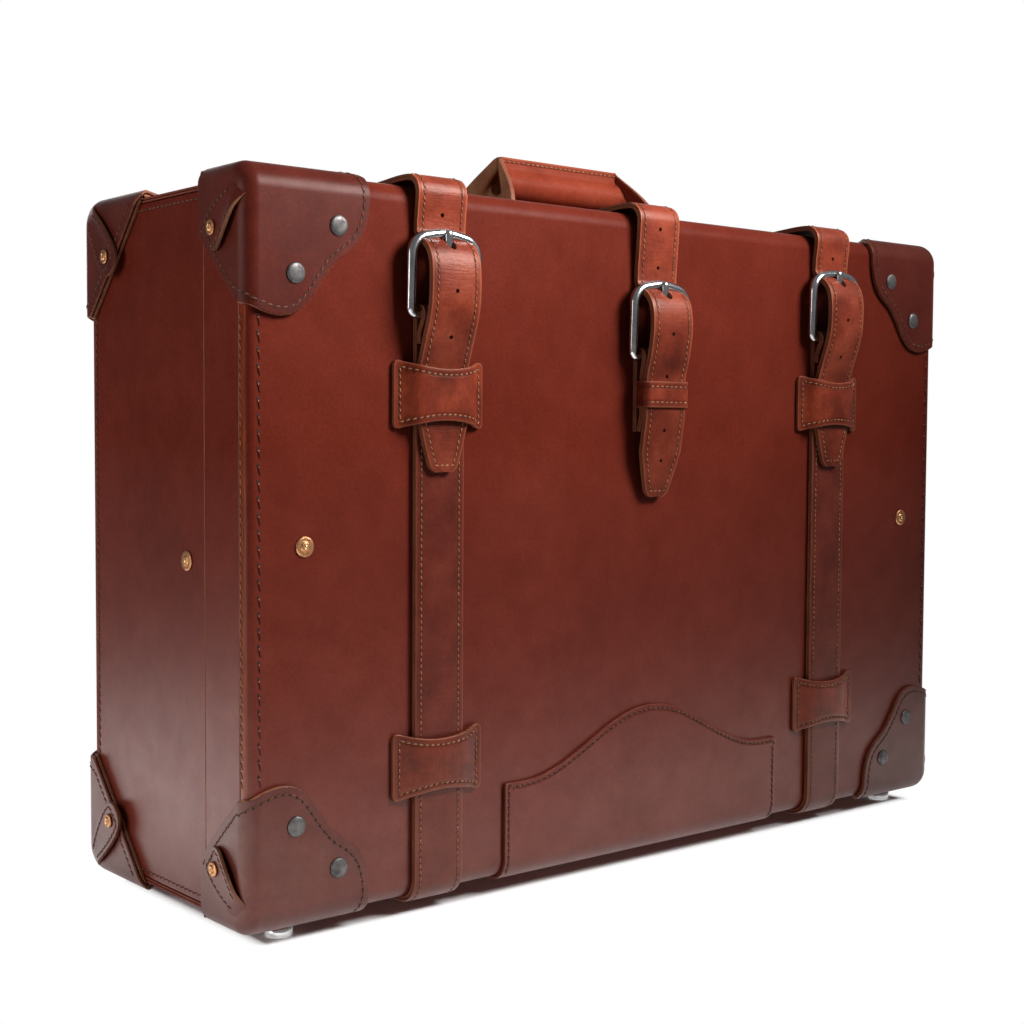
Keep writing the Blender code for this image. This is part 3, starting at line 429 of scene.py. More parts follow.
def evenShading(obj):
    obj.modifiers.new("Shading", "WEIGHTED_NORMAL").keep_sharp = True


def addBevel(obj, width, segments=2, angle=50, flat=True, clamp=True):
    setAll(obj.modifiers.new("Edges", "BEVEL"), width=width, segments=segments, limit_method="ANGLE",
           angle_limit=math.radians(angle), use_clamp_overlap=clamp)
    if flat:
        evenShading(obj)


def thicken(obj, thickness, offset=0, rim=1, inner=0, even=True):
    setAll(obj.modifiers.new("Thickness", "SOLIDIFY"), thickness=thickness, offset=offset,
           use_even_offset=even, material_offset_rim=rim, material_offset=inner)


def addCut(obj, name, tool, operation="DIFFERENCE"):
    setAll(obj.modifiers.new(name, "BOOLEAN"), operation=operation, solver="EXACT", object=tool)


def dropObjects(objects):
    for obj in objects:
        bpy.data.objects.remove(obj, do_unlink=True)


def evaluated(obj):
    # The object's mesh with its modifiers applied.
    bpy.context.view_layer.update()
    graph = bpy.context.evaluated_depsgraph_get()
    source = obj.evaluated_get(graph)
    return bpy.data.meshes.new_from_object(source, preserve_all_data_layers=True, depsgraph=graph)


def settle(obj, body, slot, *replaced):
    # Applies the modifiers, puts the piece in the case's place and hands it to its body.
    mesh = evaluated(obj)
    mesh.transform(Matrix.Translation(home) @ obj.matrix_world)
    if "Punch" in obj.modifiers:
        mesh.set_sharp_from_angle(angle=math.radians(50))
    obj.modifiers.clear()
    obj.matrix_world = Matrix.Identity(4)
    old = obj.data
    obj.data = mesh
    mesh.name = obj.name
    bpy.data.meshes.remove(old)
    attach(obj, body)
    if replaced:
        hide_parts(*replaced)
    return obj


plySeam = 0.00016  # the line between a sheet's layers


def leatherSheet(name, rows, cols, place, thick, faceLook, edgeLook, layers=1, edge=0.0006, cutters=(),
                 flat=False, inner=None):
    # place(row, col) gives the point, its outward direction, the way in from the edge, across and along.
    bm = bmesh.new()
    edgeMap, runMap = (bm.loops.layers.uv.new(layer) for layer in ("edge", "run"))
    ply = (thick - plySeam * (layers - 1)) / layers
    for layer in range(layers):
        level = (layer - (layers - 1) / 2) * (ply + plySeam)
        made = bmesh.ops.create_grid(bm, x_segments=cols, y_segments=rows, size=1)["verts"]
        for vert in made:
            row = round((vert.co.y + 1) / 2 * rows)
            col = round((vert.co.x + 1) / 2 * cols)
            point, out, inward, across, along = place(row, col)
            vert.co = point + out * level
            for corner in vert.link_loops:
                corner[edgeMap].uv = (inward, along)
                corner[runMap].uv = (across, along)
        sample = made[-1].link_faces[0]
        sample.normal_update()
        if sample.normal.dot(out) < 0:  # the last placed corner tells which way the sheet faces
            bmesh.ops.reverse_faces(bm, faces=list({face for v in made for face in v.link_faces}))
    obj = objectFrom(name, bm, *(finish[look] for look in (faceLook, edgeLook, inner) if look))
    thicken(obj, ply, inner=2 if inner else 0)
    addBevel(obj, edge, 3, flat=flat)
    for cutter in cutters:  # after the edges are rounded, so that small cuts don't narrow the rounding
        addCut(obj, "Punch", cutter)
    return obj


def strapSheet(name, path, halves, x, side, thick, faceLook, edgeLook, cutters=(), crown=0.0003, flat=False):
    outs = outwards(path, side)
    run = lengths(path)
    cols = 8

    def place(row, col):
        share = 2 * col / cols - 1
        aside = share * halves[row]
        out = place3(0, outs[row])
        point = place3(x + aside, path[row]) + out * crown * (1 - share**4)
        return point, out, halves[row] - abs(aside), aside, run[row]

    return leatherSheet(name, len(path) - 1, cols, place, thick, faceLook, edgeLook, 2, cutters=cutters,
                        flat=flat)


def turned(name, profile, place, look, steps=32):
    # A profile of (radius, height) spun round its own axis.
    bm = bmesh.new()
    verts = [bm.verts.new((r, 0, h)) for r, h in profile]
    edges = [bm.edges.new(pair) for pair in zip(verts, verts[1:])]
    bmesh.ops.spin(bm, geom=verts + edges, axis=(0, 0, 1), cent=(0, 0, 0), angle=4 * quarter, steps=steps,
                   use_merge=True)
    bmesh.ops.remove_doubles(bm, verts=bm.verts, dist=near)
    bmesh.ops.recalc_face_normals(bm, faces=bm.faces)
    obj = objectFrom(name, bm, finish[look])
    obj.data.transform(place)
    return obj


def facing(point, out):
    # A frame whose Z axis points out of a surface.
    return Matrix.Translation(point) @ Vector(out).to_track_quat("Z", "Y").to_matrix().to_4x4()


# Stitches: short rounded threads with a needle hole at each end, the hole a near-black disc of painted shade,
# gathered per body and thread
stitchSize = {
    "pitch": 0.0040, "length": 0.0028, "width": 0.0011, "height": 0.0010, "slant": 12.0, "hole": 0.0005,
    "wideHole": 0.0009, "slim": 0.0005, "bead": 0.0014, "holeGap": 0.0002, "holeLift": 0.00006,
    "beadLift": 0.0002,
}
bm = bmesh.new()
bmesh.ops.create_uvsphere(bm, u_segments=6, v_segments=4, radius=0.5)
bmesh.ops.rotate(bm, verts=bm.verts, cent=(0, 0, 0), matrix=Matrix.Rotation(quarter, 3, "Y"))
threadTemplate = bpy.data.meshes.new("threadTemplate")
bm.to_mesh(threadTemplate)
bm.clear()
bmesh.ops.create_circle(bm, cap_ends=True, segments=8, radius=1.0)
bmesh.ops.recalc_face_normals(bm, faces=bm.faces)
holeTemplate = bpy.data.meshes.new("holeTemplate")
bm.to_mesh(holeTemplate)
bm.free()
threads = {}


def addCopy(key, template, point, *columns):
    # A copy of a template at a point, its axes laid along the three columns.
    copy = template.copy()
    copy.transform(Matrix.Translation(point) @ Matrix(columns).transposed().to_4x4())
    if key not in threads:
        threads[key] = bmesh.new()
    threads[key].from_mesh(copy)
    bpy.data.meshes.remove(copy)


def stitchAlong(key, line, pitch=stitchSize["pitch"], thread="tan"):
    # key is (group, body). line has the seam's points on the leather's surface with their outward directions.
    size = stitchSize
    run = lengths([p for p, n in line])
    table = np.array([(*p, *n) for p, n in line])
    count = max(1, round(run[-1] / pitch))
    step = run[-1] / count
    long = size["length"] * step / size["pitch"]
    hole = size["hole"] if thread == "tan" else size["wideHole"]
    width = size["slim"] if thread == "dark" else size["width"]

    def spot(place):
        row = [np.interp(place * step, run, column) for column in table.T]
        return Vector(row[:3]), Vector(row[3:]).normalized()

    for index in range(count):
        middle, out = spot(index + 0.5)
        ahead = (spot(index + 0.9)[0] - spot(index + 0.1)[0]).normalized()
        ahead = Matrix.Rotation(math.radians(size["slant"]), 3, out) @ ahead
        cross = out.cross(ahead).normalized()
        rise = out * size["height"]
        addCopy((*key, thread), threadTemplate, middle + out * proud, ahead * long, cross * width, rise)
        end = middle + ahead * (long / 2 + size["holeGap"])
        spread = hole * 1.2
        mouth = end + out * size["holeLift"]
        # painted shade: a flat dark disc stands for the shade inside the needle hole
        addCopy((*key, "needle"), holeTemplate, mouth, ahead * spread, cross * hole, out)
        if thread == "dark":  # a short pale tan bead is added beside each hole
            bead = size["bead"]
            end += out * size["beadLift"] - ahead * (spread + bead * 0.4)
            addCopy((*key, "tan"), threadTemplate, end, ahead * bead, cross * bead * 0.7, rise)


def seamOf(out, points):
    # A seam on a flat face.
    return [(Vector(p), Vector(out)) for p in points]


print("helpers ready")

# Lid and base walls
sideBand = {"fold": 0.0060, "margin": 0.0085, "cut": 0.0010, "seam": 0.0001, "rim": 0.0010, "soft": 0.0004}
wallThick = case["wall"]
wallHalf = wallThick / 2
wallInner = wallThick + gap
wallRadius = case["edge"] - wallHalf
plateIn = sideBand["margin"] + sideBand["seam"]
tongueFront = case["lidDepth"] - case["tongue"]
baseBack = case["depth"] - wallInner
rimY = case["lidDepth"] + gap


def lidCorners(inset):
    back, top = case["lidDepth"], tall - inset
    return ((back, top), (inset, top), (inset, inset), (back, inset))


def baseCorners(inset):
    back, top = case["depth"] - inset, case["baseTop"] - inset
    return ((tongueFront, top), (back, top), (back, inset), (rimY, inset))


lidPath = rounded(lidCorners(wallHalf), (0, wallRadius, wallRadius, 0))
lidOuts = outwards(lidPath, 1)
basePath = rounded(baseCorners(wallHalf), (0, wallRadius, wallRadius, 0))
foldMid = sideBand["fold"] - wallHalf
foldStart = case["half"] - sideBand["fold"]
foldHalf = [(x, 0.0, 0.0) for x in np.linspace(0, foldStart, 7)[1:-1]]
foldHalf += [(foldStart + foldMid * math.sin(t), foldMid * (1 - math.cos(t)), t)
             for t in np.linspace(0, quarter, 8)]
foldHalf += [(case["half"] - wallHalf, depth, quarter)
             for depth in np.linspace(foldMid, sideBand["margin"] - wallHalf, 3)[1:]]
foldAcross = [(-1, *station) for station in foldHalf[::-1]] + [(1, 0.0, 0.0, 0.0)]
foldAcross += [(1, *station) for station in foldHalf]


def foldPlace(row, col):
    # The front leather, its side margins bent round on to the lid's sides.
    hand, aside, inward, turn = foldAcross[col]
    away = place3(0, lidOuts[row])
    point = place3(hand * aside, lidPath[row]) - away * inward
    return point, away * math.cos(turn) + Vector((hand * math.sin(turn), 0, 0)), 0.1, aside, 0.0


obj = leatherSheet("lidWrap", len(lidPath) - 1, len(foldAcross) - 1, foldPlace, wallThick, "wrap", "bodyEdge",
                   flat=True)
settle(obj, "lid", "body_leather", "lid_wrap")
baseHalves = [case["baseHalf"]] * len(basePath)
obj = strapSheet("baseWrap", basePath, baseHalves, 0, -1, wallThick, "body", "bodyEdge", crown=0, flat=True)
settle(obj, "base", "body_leather", "base_wrap")


def wallPlate(name, outline, x, look, low=None, high=None, soft=sideBand["soft"]):
    # A flat wall from its outline in the YZ plane, trimmed to a stretch of Y, with softened edges.
    bm = bmesh.new()
    bm.faces.new([bm.verts.new((x - wallHalf, y, z)) for y, z in outline])
    for limit, direction in ((low, -1), (high, 1)):
        if limit is not None:
            bmesh.ops.bisect_plane(bm, geom=bm.verts[:] + bm.edges[:] + bm.faces[:], dist=1e-7,
                                   plane_co=(0, limit, 0), plane_no=(0, direction, 0), clear_outer=True)
    pushOut(bm, (wallThick, 0, 0))
    obj = objectFrom(name, bm, finish[look])
    addBevel(obj, soft, 3)
    return obj


plateRadius = case["edge"] - plateIn
lidOutline = rounded(lidCorners(plateIn), (0, plateRadius, plateRadius, 0), closed=True)
innerRadius = case["edge"] - wallThick
baseOutline = rounded(
    (*baseCorners(wallInner), (rimY, case["relief"]), (tongueFront, case["relief"] + case["tongue"])),
    (0, innerRadius, innerRadius, 0, 0, 0), closed=True,
)
cutBack = plateIn + sideBand["cut"]
rimFront = case["lidDepth"] - sideBand["cut"]
for side, hand in hands:
    x = side * (case["half"] - wallHalf)
    plate = wallPlate(f"lidSide_{hand}", lidOutline, x, "body", cutBack, rimFront - sideBand["seam"])
    settle(plate, "lid", "body_leather", f"lid_side_{hand}")
    strip = wallPlate(f"lidSideCut_{hand}", lidOutline, x, "edge", high=cutBack - sideBand["seam"])
    settle(strip, "lid", "body_leather")
    settle(wallPlate(f"lidSideRim_{hand}", lidOutline, x, "edge", low=rimFront), "lid", "body_leather")
    x = side * (case["baseHalf"] - wallHalf)
    plate = wallPlate(f"baseSide_{hand}", baseOutline, x, "body", soft=sideBand["rim"])
    settle(plate, "base", "body_leather", f"base_side_{hand}")

lining = {"cloth": 0.0012, "soft": 0.0003}


def liningTray(name, half, front, back, top, mouth, bottom, body, node):
    # A cloth tray with its mouth towards the other half and rounded inner edges.
    bm = block((wallInner - half, front, wallInner), (half - wallInner, back, top - wallInner))
    bmesh.ops.delete(bm, geom=[face for face in bm.faces if within(face, 1, mouth)], context="FACES_ONLY")
    roundEdges(bm, [edge for edge in bm.edges if within(edge, 1, bottom)], innerRadius, 6)
    obj = objectFrom(name, bm, finish["lining"])
    thicken(obj, lining["cloth"], offset=-1, rim=0)
    addBevel(obj, lining["soft"])
    settle(obj, body, "lining_leather", node)


trayBack = tongueFront - gap
liningTray("lidLining", case["half"], wallInner, trayBack, tall, trayBack, wallInner, "lid", "lid_lining")
liningTray("baseLining", case["baseHalf"], rimY, baseBack, case["baseTop"], rimY, baseBack, "base",
           "base_lining")
print("walls and linings done")

# Corner caps, made once for the lid and once for the base, then mirrored to each corner
cap = {
    "size": 0.085, "rounding": 0.0105, "stitch": 0.0048, "pitch": 0.0052, "spare": 0.02, "plySeam": 0.0006,
    "edge": 0.0007, "seamEnd": 0.066, "reach": 0.16,
    "lidLeather": 0.0032, "lidPlies": 1, "lidScale": 1.0,
    "baseLeather": 0.0054, "basePlies": 2, "baseScale": 0.92, "baseSide": 0.077,
}
capFront = (
    (-0.020, 0.0765), (-0.004, 0.0790), (0.004, 0.0822), (0.012, 0.0852), (0.022, 0.0868), (0.032, 0.0848),
    (0.041, 0.0775), (0.050, 0.0640), (0.060, 0.0515), (0.070, 0.0452), (0.0765, 0.0392), (0.0815, 0.0300),
    (0.0840, 0.0180), (0.0845, -0.020),
)
capSide = {
    "lid": ((-0.020, 0.0960), (-0.004, 0.0950), (0.000, 0.0872), (0.004, 0.0812), (0.008, 0.0772),
            (0.014, 0.0718), (0.022, 0.0646), (0.030, 0.0571), (0.052, 0.0362)),
    "base": ((-0.020, 0.0900), (-0.004, 0.0890), (0.000, 0.0815), (0.004, 0.0755), (0.010, 0.0690),
             (0.040, 0.0380), (0.0790, -0.0040)),
}
capTop = {
    "lid": ((-0.020, 0.0930), (-0.004, 0.0880), (0.004, 0.0842), (0.010, 0.0800), (0.018, 0.0730),
            (0.030, 0.0620), (0.052, 0.0410)),
    "base": ((-0.020, 0.0930), (-0.004, 0.0860), (0.004, 0.0800), (0.012, 0.0715), (0.040, 0.0410),
             (0.0790, -0.0040)),
}


def capOut(part):
    return gap + cap[f"{part}Leather"]


def cutLine(points, inset=0.0):
    # A cap's edge as a smooth line, drawn in by the inset.
    line = eased([Vector(p) for p in points], 0.0015, 14)
    drawn = []
    for before, here, after in zip(line, line[1:], line[2:]):
        ahead = (after - before).normalized()
        drawn.append(here + Vector((ahead.y, -ahead.x)) * inset)
    return drawn


def frontLine(part, inset=0.0):
    scale = cap[f"{part}Scale"]
    return cutLine([(u * scale, w * scale) for u, w in capFront], inset)


def cutOutline(line):
    # The line closed round the corner that it keeps.
    spare = cap["spare"]
    return [(-spare, -spare), (line[-1].x, -spare)] + [tuple(p) for p in line[::-1]] + [(-spare, line[0].y)]


def prism(outline, axes):
    # A flat outline carried a long way both ways along the axis that is left.
    bm = bmesh.new()
    verts = []
    for a, b in outline:
        point = [-cap["reach"]] * 3
        point[axes[0]], point[axes[1]] = a, b
        verts.append(bm.verts.new(point))
    bm.faces.new(verts)
    pushOut(bm, [0.0 if axis in axes else 2 * cap["reach"] for axis in range(3)])
    for face in bm.faces:
        face.material_index = 1
    return objectFrom("prism", bm, finish["cap"], finish["capEdge"])


def cornerBlock(out, rounding, more=0.0):
    # A block with its long edge rounded, then the rim of its side rounded as moulded leather is.
    far = cap["size"] + cap["spare"] + more
    bm = block((-out,) * 3, (far,) * 3)
    roundEdges(bm, [e for e in bm.edges if within(e, 1, -out) and within(e, 2, -out)], case["edge"] + out, 12)
    if rounding:
        rim = [
            e for e in bm.edges
            if within(e, 0, -out) and min(sum(v.co[axis] for v in e.verts) for axis in (1, 2)) < far
            and all(min(v.co.y, v.co.z) < far - near for v in e.verts)
        ]
        roundEdges(bm, rim, rounding, 8)
    return objectFrom("cornerBlock", bm, finish["cap"], finish["capEdge"])


def capPly(part, limit, out, hollow):
    shrink = cap["rounding"] - capOut(part)
    outer = cornerBlock(out, shrink + out)
    inner = cornerBlock(hollow, shrink + hollow if hollow > gap else 0, 0.01)
    tools = [
        prism(cutOutline(frontLine(part)), (0, 2)),
        prism(cutOutline(cutLine(capSide[part])), (1, 2)),
        prism([(b, a) for a, b in cutOutline(cutLine(capTop[part]))], (0, 1)),
        prism([(-0.05, -0.05), (limit, -0.05), (limit, 0.12), (-0.05, 0.12)], (1, 2)),
    ]
    addCut(outer, "Cut", inner)
    for tool in tools:
        addCut(outer, "Cut", tool, "INTERSECT")
    addBevel(outer, cap["edge"], 3, 45, flat=False, clamp=False)
    mesh = evaluated(outer)
    dropObjects([outer, inner] + tools)
    return mesh


def capForm(part, limit):
    # One layer of leather, or two with a narrow seam between them.
    levels = np.linspace(gap, capOut(part), cap[f"{part}Plies"] + 1)
    plies = [capPly(part, limit, high, low + (cap["plySeam"] if low > gap else 0))
             for low, high in zip(levels, levels[1:])]
    bm = bmesh.new()
    for mesh in plies:
        bm.from_mesh(mesh)
    bm.to_mesh(plies[-1])
    bm.free()
    for mesh in plies[:-1]:
        bpy.data.meshes.remove(mesh)
    return plies[-1]


def capSeam(part, limit):
    # The stitch line a little inside the cap's edge: over the top, down the front lobes, round to the side.
    inset, out = cap["stitch"], capOut(part)
    stop = min(limit - 0.002, cap["seamEnd"])
    line = [((u, v, -out), (0, 0, -1)) for v, u in cutLine(capTop[part], inset)[::-1] if 0.013 < v < stop]
    lobes = [p for p in frontLine(part, inset)[::-1] if p.x > 0.008 and p.y > 0.013]
    side = [p for p in cutLine(capSide[part], inset) if 0.008 < p.x < stop]
    radius = case["edge"] + out
    for turn in np.linspace(0.15, quarter - 0.1, 8):  # over the long edge
        u = line[-1][0][0] + (lobes[0].x - line[-1][0][0]) * 0.4
        spot = (u, case["edge"] - radius * math.sin(turn), case["edge"] - radius * math.cos(turn))
        line.append((spot, (0, -math.sin(turn), -math.cos(turn))))
    line += [((u, -out, w), (0, -1, 0)) for u, w in lobes]
    radius = cap["rounding"]
    centre = radius - out
    for turn in np.linspace(0.15, quarter - 0.1, 7):  # round to the side
        level = lobes[-1].y + (side[0].y - lobes[-1].y) * turn / quarter
        spot = (centre - radius * math.sin(turn), centre - radius * math.cos(turn), level)
        line.append((spot, (-math.sin(turn), -math.cos(turn), 0)))
    line += [((-out, v, w), (-1, 0, 0)) for v, w in side]
    return [(Vector(p), Vector(n)) for p, n in line]


tab = {
    "leather": 0.0022, "root": 0.0048, "wide": 0.0128, "tip": 0.0030, "stitch": 0.0034, "pitch": 0.0048,
    "edge": 0.0005, "widest": 0.74, "held": 0.95, "tuck": 0.0035, "tucked": 0.24, "off": 0.0002,
    "burr": 0.0008, "pinRise": 0.0014,
    "lidFrom": (0.0030, 0.0130), "lidTo": (0.0375, 0.0430), "lidRivet": (0.0300, 0.0345), "lidLift": 0.0028,
    "baseFrom": (0.0070, 0.0015), "baseTo": (0.0445, 0.0440), "baseRivet": (0.0355, 0.0350),
    "baseLift": -0.0016,
}


def tabForm(part):
    # A folded flap on the cap's side: tucked in at the corner, wide near its end, its free edge standing off.
    start, end, freeLift = Vector(tab[f"{part}From"]), Vector(tab[f"{part}To"]), tab[f"{part}Lift"]
    out = capOut(part)
    long = (end - start).length
    ahead = (end - start).normalized()
    aside = Vector((-ahead.y, ahead.x)) * (1 if freeLift > 0 else -1)
    rows, cols = 26, 10

    def half(share):
        if share > tab["widest"]:
            rest = (share - tab["widest"]) / (1 - tab["widest"])
            return tab["tip"] + (tab["wide"] - tab["tip"]) * math.sqrt(max(0.0, 1 - rest**2.0))
        return tab["root"] + (tab["wide"] - tab["root"]) * math.sin(share / tab["widest"] * quarter)

    def lift(share, across):
        rise = math.sin(share / tab["held"] * math.pi) ** 0.8 if share < tab["held"] else 0.0
        tuck = tab["tuck"] * max(0.0, 1 - share / tab["tucked"]) ** 2
        return tab["off"] + abs(freeLift) * rise * max(0.0, across) ** 1.5 - tuck

    def recede(place):  # how far the cap's rounded rim falls away
        rest = min(cap["rounding"], max(0.0, cap["rounding"] - out - place))
        return cap["rounding"] - math.sqrt(cap["rounding"] ** 2 - rest**2)

    def spot(share, across, above):
        flat = start + ahead * long * share + aside * half(share) * across
        return place3(max(recede(flat.x), recede(flat.y)) - out - lift(share, across) - above, flat)

    def place(row, col):
        share, across = row / rows, 2 * col / cols - 1
        inward = min(half(share) * (1 - abs(across)), long * (1 - share) + tab["tip"] * (1 - abs(across)))
        point = spot(share, across, tab["leather"] / 2)
        return point, Vector((-1, 0, 0)), inward, across * half(share), share * long

    obj = leatherSheet("tabForm", rows, cols, place, tab["leather"], "cap", "tabEdge", edge=tab["edge"])
    mesh = evaluated(obj)
    dropObjects([obj])
    shares = np.linspace(0.16, 0.90, 20)
    down, back = ([spot(share, edge * (1 - tab["stitch"] / half(share)), tab["leather"]) for share in shares]
                  for edge in (1, -1))
    return mesh, seamOf((-1, 0, 0), down + back[::-1])


burrProfile = [
    (0.0, 0.00165), (0.0007, 0.00165), (0.0009, 0.0014), (0.0011, 0.00175), (0.0024, 0.0017),
    (0.0031, 0.0013),
    (0.0033, 0.0009), (0.0036, 0.00082), (0.0050, 0.00105), (0.0058, 0.0009), (0.0063, 0.0004), (0.0064, 0.0),
    (0.0, 0.0),
]
pinProfile = [
    (0.0, 0.00225), (0.0006, 0.0022), (0.0011, 0.0020), (0.0014, 0.0015), (0.0014, 0.0010), (0.0, 0.0010),
]
smallBurr = [(r * 0.74, h) for r, h in burrProfile]
smallPin = [(r * 0.6, h * 0.8) for r, h in pinProfile]

capSets = (
    ("lid", case["half"], 0.0, 1, tall, case["lidDepth"]),
    ("base", case["baseHalf"], case["depth"], -1, case["baseTop"], case["depth"]),
)
for part, half, face, inward, top, limit in capSets:
    form = capForm(part, limit)
    seam = capSeam(part, limit)
    flap, flapSeam = tabForm(part)
    for side, hand in hands:
        for level, height, up in (("top", top, 1), ("bottom", 0.0, -1)):
            matrix = Matrix.Translation((side * half, face, height))
            matrix @= Matrix.Diagonal((-side, inward, -up, 1))
            turn = matrix.to_3x3()
            corner = f"{level}_{hand}"
            for source, name, replaced in ((form, "Cap", (f"{part}_cap_{corner}",)), (flap, "CapTab", ())):
                mesh = source.copy()
                mesh.transform(matrix)
                if matrix.determinant() < 0:
                    mesh.flip_normals()
                obj = link(f"{part}{name}_{corner}", mesh)
                if name == "Cap":
                    evenShading(obj)
                settle(obj, part, "cap_leather", *replaced)
            for name, line, pitch in (("Caps", seam, cap["pitch"]), ("Tabs", flapSeam, tab["pitch"])):
                line = [(matrix @ p, turn @ n) for p, n in line]
                stitchAlong((f"{part}{name}", part), line, pitch, "brown")
            out = turn @ Vector((-1, 0, 0))
            spot = matrix @ Vector((-capOut(part) - tab["leather"] - tab["burr"], *tab[f"{part}Rivet"]))
            settle(turned(f"{part}TabBurr_{corner}", smallBurr, facing(spot, out), "copper"), part, "copper")
            for name, rise in (("low", -tab["pinRise"]), ("high", tab["pinRise"])):
                dot = spot + Vector((0, 0, rise)) + out * 0.0003
                pin = turned(f"{part}TabPin_{corner}_{name}", smallPin, facing(dot, out), "brass", 16)
                settle(pin, part, "copper")
print("caps done")

# Rivets and feet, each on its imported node's place
domeProfile = [
    (0.0, 0.0014), (0.0018, 0.00138), (0.0034, 0.0013), (0.0047, 0.0011), (0.0056, 0.0008), (0.0061, 0.0004),
    (0.0063, 0.0), (0.0, 0.0),
]
footProfile = [
    (0.0, 0.0), (0.0085, 0.0), (0.0085, 0.0055), (0.0083, 0.0063), (0.0078, 0.0070), (0.0070, 0.0074),
    (0.0030, 0.0074), (0.0026, 0.0069), (0.0, 0.0068),
]
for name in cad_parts:
    if not name.startswith(("dome_rivet", "front_rivet", "side_rivet", "foot_")):
        continue
    low, high = (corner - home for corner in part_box(name))
    middle = (low + high) / 2
    body = "base" if name.startswith(("side", "foot_back")) else "lid"
    onFront = facing((middle.x, high.y, middle.z), (0, -1, 0))
    if name.startswith("dome"):
        settle(turned(camel(name), domeProfile, onFront, "gunmetal"), body, "dark_steel", name)
    elif name.startswith("foot"):
        place = facing((middle.x, middle.y, high.z), (0, 0, -1))
        settle(turned(camel(name), footProfile, place, "foot"), body, "polished_steel", name)
    else:
        place = onFront
        if name.startswith("side"):
            inner = high.x if middle.x < 0 else low.x
            place = facing((inner, middle.y, middle.z), (math.copysign(1, middle.x), 0, 0))
        settle(turned(camel(name), burrProfile, place, "copper"), body, "copper", name)
        settle(turned(f"{camel(name)}Pin", pinProfile, place, "brass", 24), body, "copper")
# Spare domes on the back caps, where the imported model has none
domes = {"near": 0.0285, "far": 0.0560}
for side, hand in hands:
    for level, height, up in (("top", case["baseTop"], 1), ("bottom", 0.0, -1)):
        for label, inset, drop in (("inner", "far", "near"), ("outer", "near", "far")):
            x = side * (case["baseHalf"] - domes[inset])
            place = facing((x, case["depth"] + capOut("base"), height - up * domes[drop]), (0, 1, 0))
            dome = turned(f"backDome_{level}_{hand}_{label}", domeProfile, place, "gunmetal")
            settle(dome, "base", "dark_steel")
print("rivets and feet done")

# Straps
strap = {
    "width": 0.038, "thick": 0.0038, "spacing": 0.190, "liftTop": 0.0028, "liftFront": 0.0042, "bend": 0.016,
    "ease": 0.05, "ramp": 0.035, "taper": 0.032, "tipWidth": 0.019, "tipRound": 0.006, "tailLift": 0.0016,
    "foldLength": 0.018, "foldSlant": 0.45, "loopSlant": 0.22, "middleEnd": 0.150, "stitch": 0.0042,
    "stitchLift": 0.0002, "stitchEnd": 0.003, "lowerEnd": 0.004, "sideTip": 0.179, "middleTip": 0.1985,
    "chapeDrop": 0.153,
}
billetHoles = {"side": (0.0185, 0.0665, 0.0948), "middle": (0.0118, 0.0388, 0.0859, 0.1144, 0.152, 0.1735)}
punchSize = {"radius": 0.0014, "depth": 0.008, "slotDrop": 0.0092, "slotReach": 0.0073, "slotSpare": 0.0007}
buckle = {
    "sideDrop": 0.081, "middleDrop": 0.101, "reach": 0.0515, "arch": 0.005, "corner": 0.0125,
    "heelCorner": 0.0034, "wire": 0.0024, "play": 0.004, "behind": 0.0008, "barPlay": 0.0014,
    "prong": 0.0016, "over": 0.004, "bulge": 0.004, "settle": 0.0065, "swell": 0.42, "eyeTurn": 250,
    "flatten": 0.62, "flatFrom": 0.03,
}
keeper = {
    "width": 0.070, "height": 0.0455, "waist": 0.0066, "sag": 0.0016, "drop": 0.0010, "leather": 0.0024,
    "sidePlay": 0.0008, "overPlay": 0.0024, "flare": 0.008, "bend": 0.005, "upperDrop": 0.1295,
    "lower": 0.087, "stitch": 0.0038, "pitch": 0.0042, "corner": 0.0055, "edge": 0.0005,
}
loop = {"leather": 0.002, "height": 0.018, "play": 0.0004, "drop": 0.127, "travel": 0.005, "corner": 0.0034,
        "edge": 0.0004, "stitch": 0.0036, "pitch": 0.0044}
strapHalf = strap["width"] / 2
sideHeel = tall - buckle["sideDrop"]
middleHeel = tall - buckle["middleDrop"]
upperKeeper = tall - keeper["upperDrop"]
loopCentre = tall - loop["drop"]
loopLow = loopCentre - loop["height"] / 2 - loop["travel"]
chapeBottom = tall - strap["chapeDrop"]
lying = gap + strap["thick"] / 2
second = lying + gap + strap["thick"]
heelOut = gap + strap["thick"] + gap + buckle["wire"]
foldRadius = buckle["wire"] + gap + strap["thick"] / 2
overHeel = heelOut + foldRadius + strap["thick"] + gap + buckle["bulge"]
behindOut = buckle["behind"] + strap["thick"] / 2
barOut = buckle["behind"] + strap["thick"] + buckle["barPlay"] + buckle["wire"]
eyeRadius = buckle["wire"] + gap + buckle["prong"]
prongOut = barOut + buckle["wire"] + gap + buckle["prong"]
loopFrontLayer = gap + strap["thick"] + 2 * loop["play"] + loop["leather"] + strap["thick"] / 2


def stitchStrap(key, path, halves, x, side, start, end, aroundTip):
    run = lengths(path)
    table = np.array([(*p, *n, half) for p, n, half in zip(path, outwards(path, side), halves)])
    levels = np.linspace(start, end, max(2, int((end - start) / 0.002)))

    def spot(length, hand):
        y, z, ny, nz, half = [np.interp(length, run, column) for column in table.T]
        out = Vector((0, ny, nz)).normalized()
        aside = hand * max(half - strap["stitch"], 0.001)
        return Vector((x + aside, y, z)) + out * (strap["thick"] / 2 + strap["stitchLift"]), out

    left, right = ([spot(level, hand) for level in levels] for hand in (-1, 1))
    for line in [left + right[::-1]] if aroundTip else [left, right]:
        stitchAlong(key, line)


